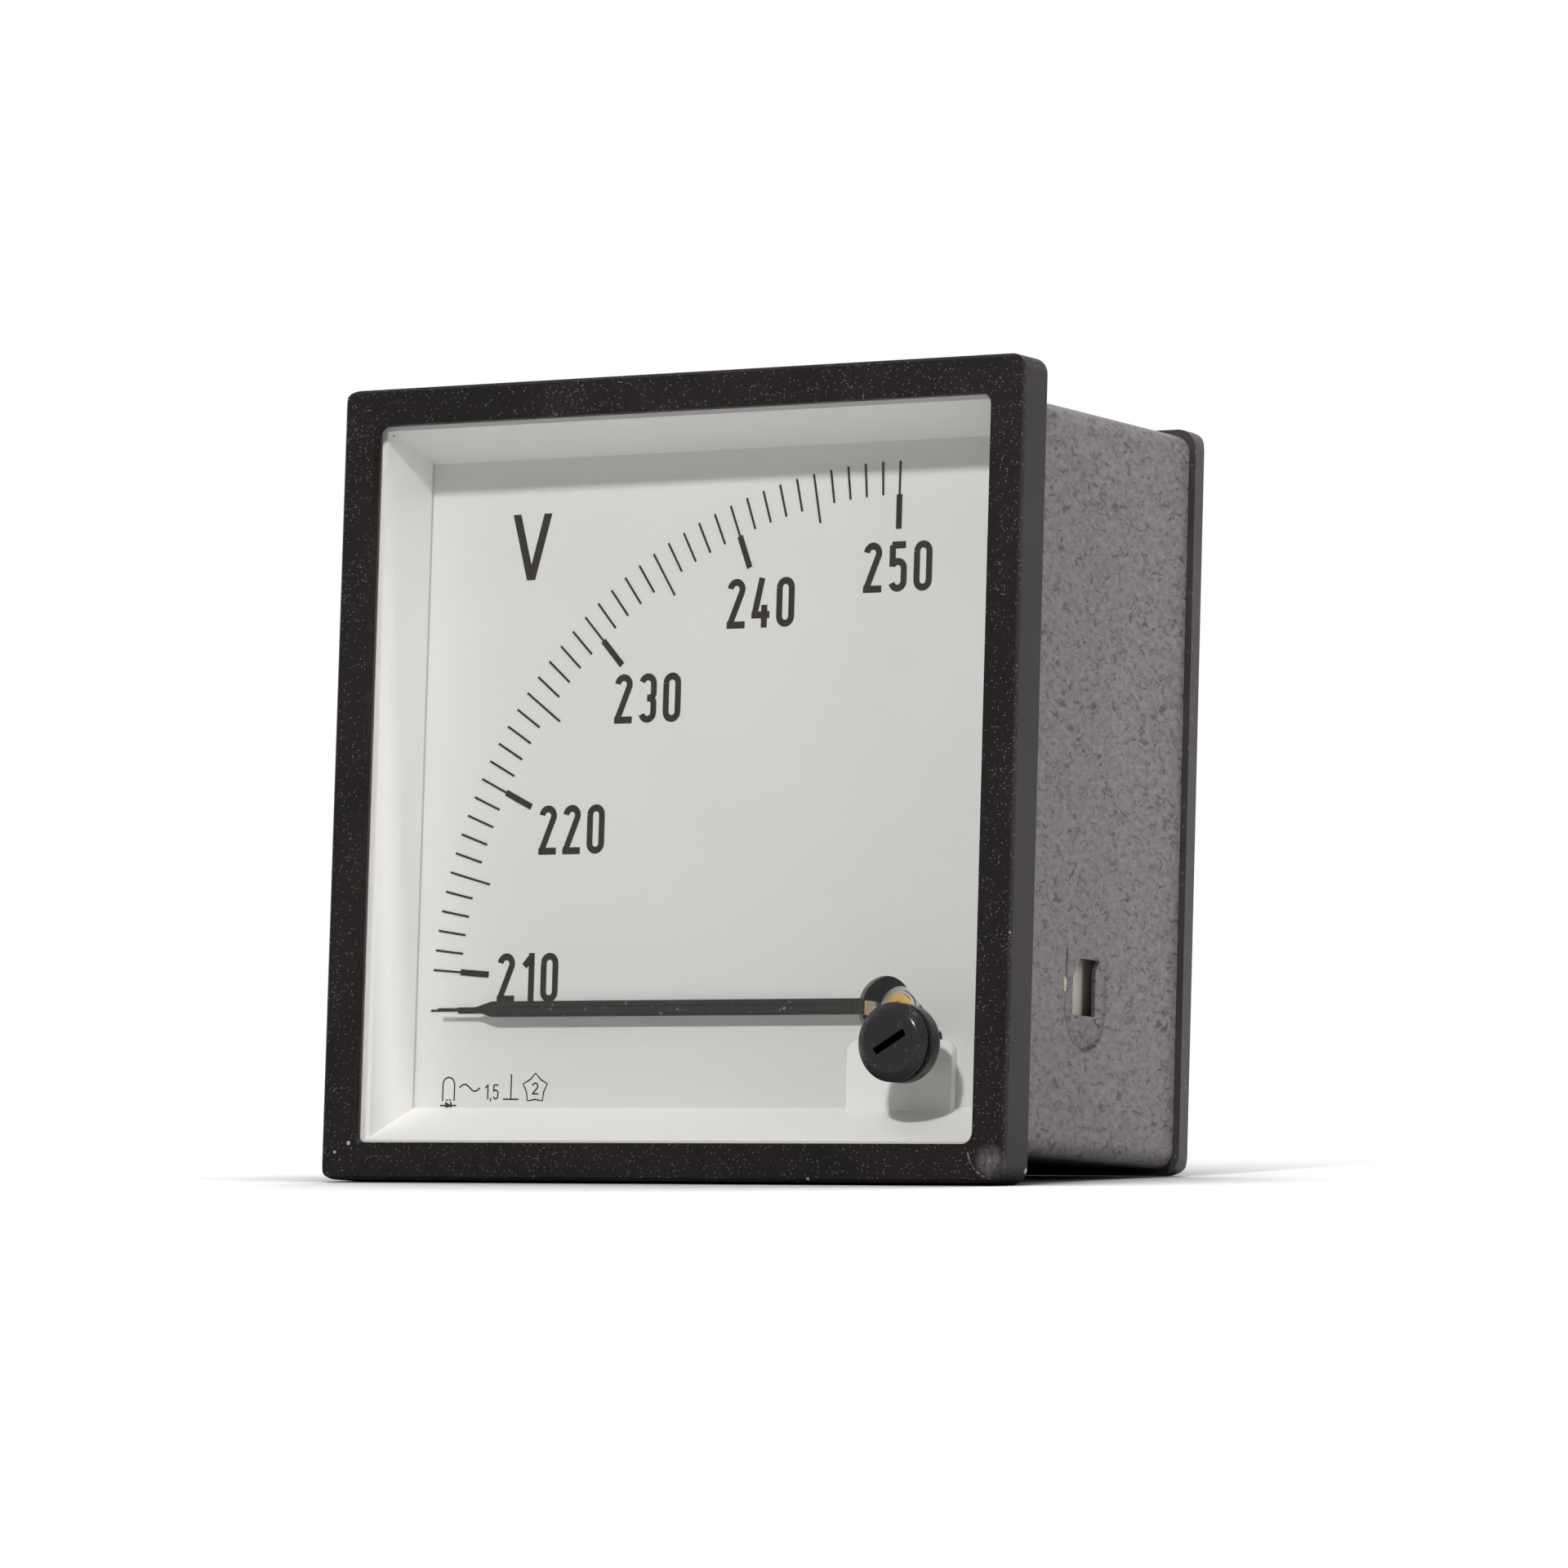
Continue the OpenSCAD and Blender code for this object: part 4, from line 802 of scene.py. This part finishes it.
def build_frame_black():
    """Black moulded plastic, smoother at its sides, with pale dust, a rubbed corner, an arc
    scratched across it and a few nicks."""
    material = dusty("frame_plastic", (0.008, 0.0065, 0.0065), (0.013, 0.0105, 0.0105), 0.42,
                     (0.17, 0.155, 0.145), specular=0.3, scale=5200, amount=0.17, grain=3500,
                     bump=0.3)
    tree = material.node_tree
    shader = tree.nodes["Principled BSDF"]
    shader.inputs["Specular Tint"].default_value = plastic_sheen
    aside = calculate(material, "ABSOLUTE", own_axes(material)["X"], 0.0)
    flank = between(material, aside, flank_starts * MM, flank_full * MM)
    shine = calculate(material, "MULTIPLY", flank, flank_shine - front_shine)
    shine = calculate(material, "ADD", shine, front_shine)
    tree.links.new(shine, shader.inputs["Specular IOR Level"])

    color = shader.inputs["Base Color"].links[0].from_socket
    uneven = cloud(material, 900, detail=5, roughness=0.7)
    rubbed = calculate(material, "MULTIPLY", spot_mask(material, smudge_place, smudge_reach),
                       between(material, uneven, 0.3, 0.7))
    color = mix_in(material, rubbed, color, (0.26, 0.25, 0.24))

    inside = spot_mask(material, scratch_turn, scratch_span)
    ring_at = 1 - scratch_r / scratch_span
    off_ring = calculate(material, "ABSOLUTE",
                         calculate(material, "SUBTRACT", inside, ring_at), 0.0)
    near_middle = between(material, spot_mask(material, scratch_middle, scratch_length), 0.2, 0.35)
    line = calculate(material, "MULTIPLY", between(material, off_ring, 0.012, 0.005), near_middle)
    line = calculate(material, "MULTIPLY", line, between(material, uneven, 0.36, 0.5))
    color = mix_in(material, line, color, (0.3, 0.28, 0.25))

    for place, reach in nicks:
        nick = between(material, spot_mask(material, place, reach), 0.1, 0.5)
        color = mix_in(material, nick, color, (0.45, 0.44, 0.42))
    tree.links.new(color, shader.inputs["Base Color"])
    return material


softened("bezel", build_frame_black(), 0.2, segments=3)


# ---- Rear cover, its screws and the terminals ----------------------------------
# A black moulding drawn against the case by four screws into the carrier. The two
# plated studs carry washers and nuts.

cover_black = dusty("cover_plastic", (0.022, 0.019, 0.021), (0.032, 0.028, 0.031), 0.4,
                    (0.1, 0.1, 0.1), scale=2000, amount=0.05, specular=0.45)
cover_shader = cover_black.node_tree.nodes["Principled BSDF"]
cover_shader.inputs["Specular Tint"].default_value = plastic_sheen
softened("rear_cover", cover_black, 0.2)
softened("cover_screws", zinc, 0.1)
softened("terminal_washers", zinc, 0.08)
softened("terminal_nuts", brass, 0.12)


thread_pitch = 0.7
thread_relief = 0.3


def build_thread_brass():
    """Brass with the fine pitch of a rolled thread, and painted shade in its grooves."""
    material, shader = principled("thread_brass", (0.62, 0.42, 0.14), 0.32, metallic=1.0)
    tree = material.node_tree
    place = tree.nodes.new("ShaderNodeTexCoord")
    pitch = tree.nodes.new("ShaderNodeTexWave")
    pitch.bands_direction = "Y"
    pitch.inputs["Scale"].default_value = 2 * pi / (thread_pitch * MM * 20)
    tree.links.new(place.outputs["Object"], pitch.inputs["Vector"])
    # Painted shade: the brass is darkest in the thread's grooves, where its relief is lowest.
    color = blend_color(material, pitch.outputs["Fac"], (0.3, 0.18, 0.05), (0.72, 0.5, 0.18),
                        0.1, 0.7)
    tree.links.new(color, shader.inputs["Base Color"])
    add_bump(material, pitch.outputs["Fac"], 1.0, thread_relief * MM)
    return material


dress(["terminal_studs"], build_thread_brass())


# ---- Table ---------------------------------------------------------------------
# The meter stands on the lower edges of its frame and its rear cover, so it leans
# back a little. The table is pale, with a painted shadow that darkens it under and
# near the meter, and it is open from below.

def seen_or_mirrored(owner):
    """A mask that is 1 for what is seen straight, in a mirror or through glass."""
    path = owner.node_tree.nodes.new("ShaderNodeLightPath")
    mirrored = calculate(owner, "MAXIMUM", path.outputs["Is Glossy Ray"],
                         path.outputs["Is Transmission Ray"])
    return calculate(owner, "MAXIMUM", path.outputs["Is Camera Ray"], mirrored)


table_size = 40
table_glow = 0.72
shelter_reach = 300
shelter_closed = 0.43
shelter_open = 0.98
cover_edge = 1.0


def build_table_white():
    """Matt white that keeps the meter's soft shadow, with more painted shadow near it; light passes
    from below.
    """
    material, shader = principled("table", (0.86, 0.86, 0.86), 0.9, specular=0.0)
    tree = material.node_tree
    # Painted shadow: ambient occlusion cuts the table's glow near the meter.
    shelter = tree.nodes.new("ShaderNodeAmbientOcclusion")
    shelter.inputs["Distance"].default_value = shelter_reach * MM
    shelter.samples = 8
    open_part = between(material, shelter.outputs["AO"], shelter_closed, shelter_open)
    shown = calculate(material, "MULTIPLY", seen_or_mirrored(material), open_part)
    glow = calculate(material, "MULTIPLY", shown, table_glow)
    tree.links.new(glow, shader.inputs["Emission Strength"])
    shader.inputs["Emission Color"].default_value = (1, 1, 1, 1)
    # Painted shadow in the colour as well: grey where the meter closes off the sky.
    shaded = blend_color(material, open_part, (0.2, 0.2, 0.2), (0.86, 0.86, 0.86))
    tree.links.new(shaded, shader.inputs["Base Color"])
    facing = tree.nodes.new("ShaderNodeNewGeometry")
    open_air = tree.nodes.new("ShaderNodeBsdfTransparent")
    one_sided = tree.nodes.new("ShaderNodeMixShader")
    tree.links.new(facing.outputs["Backfacing"], one_sided.inputs["Fac"])
    tree.links.new(shader.outputs["BSDF"], one_sided.inputs[1])
    tree.links.new(open_air.outputs["BSDF"], one_sided.inputs[2])
    tree.links.new(one_sided.outputs["Shader"], tree.nodes["Material Output"].inputs["Surface"])
    return material


frame_foot = Vector((0, 0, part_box("bezel")[0].z))
cover_foot = Vector((0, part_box("rear_cover")[1].y - cover_edge * MM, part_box("rear_cover")[0].z))
lean = atan2(cover_foot.z - frame_foot.z, cover_foot.y - frame_foot.y)
bpy.ops.object.select_all(action="DESELECT")
bpy.ops.mesh.primitive_plane_add(size=table_size, location=frame_foot, rotation=(lean, 0, 0))
table = bpy.context.object
table.name = "table"
table.data.materials.append(build_table_white())


# ---- Light ---------------------------------------------------------------------
# One lamp high in front, small enough to draw the frame's shadow on the dial, a broad
# soft one at the right, a weak one above, and a pale surrounding that shows as white.

lamp_distance = 2.0


def add_lamp(name, azimuth, elevation, size, power):
    """An area lamp aimed at the middle of the meter; azimuth 0 is straight in front."""
    lamp = bpy.data.lights.new(name, "AREA")
    lamp.size = size
    lamp.energy = power
    holder = bpy.data.objects.new(name, lamp)
    bpy.context.collection.objects.link(holder)
    a = radians(azimuth)
    e = radians(elevation)
    holder.location = Vector((sin(a) * cos(e), -cos(a) * cos(e), sin(e))) * lamp_distance
    holder.rotation_euler = (-holder.location).to_track_quat("-Z", "Y").to_euler()


add_lamp("key", azimuth=11, elevation=31, size=0.12, power=25)
add_lamp("side", azimuth=75, elevation=15, size=1.0, power=9)
add_lamp("upper", azimuth=24, elevation=57, size=0.25, power=1.5)

even = 0.32
brighter_towards = (0.18, 0.35, 0.1)
world = bpy.data.worlds.new("surrounding")
bpy.context.scene.world = world
world.use_nodes = True
sky = world.node_tree.nodes["Background"]
sky.inputs["Color"].default_value = (1, 1, 1, 1)
place = world.node_tree.nodes.new("ShaderNodeTexCoord")
side = world.node_tree.nodes.new("ShaderNodeVectorMath")
side.operation = "DOT_PRODUCT"
side.inputs[1].default_value = brighter_towards
choose = world.node_tree.nodes.new("ShaderNodeMix")
choose.inputs["B"].default_value = 1
world.node_tree.links.new(place.outputs["Generated"], side.inputs[0])
world.node_tree.links.new(calculate(world, "ADD", side.outputs["Value"], even), choose.inputs["A"])
world.node_tree.links.new(seen_or_mirrored(world), choose.inputs["Factor"])
world.node_tree.links.new(choose.outputs["Result"], sky.inputs["Strength"])


# ---- Camera --------------------------------------------------------------------
# A long lens about a metre away, low and to the right of the front, and a little
# out of level.

camera_data = bpy.data.cameras.new("camera")
camera_data.sensor_width = 36
camera_data.lens = 183.81
camera_data.clip_end = 50
camera = bpy.data.objects.new("camera", camera_data)
bpy.context.collection.objects.link(camera)
camera.location = (0.51422, -0.79510, -0.08159)
camera.rotation_euler = (radians(94.909), radians(-1.621), radians(32.065))
bpy.context.scene.camera = camera
bpy.context.scene.view_settings.view_transform = "Standard"
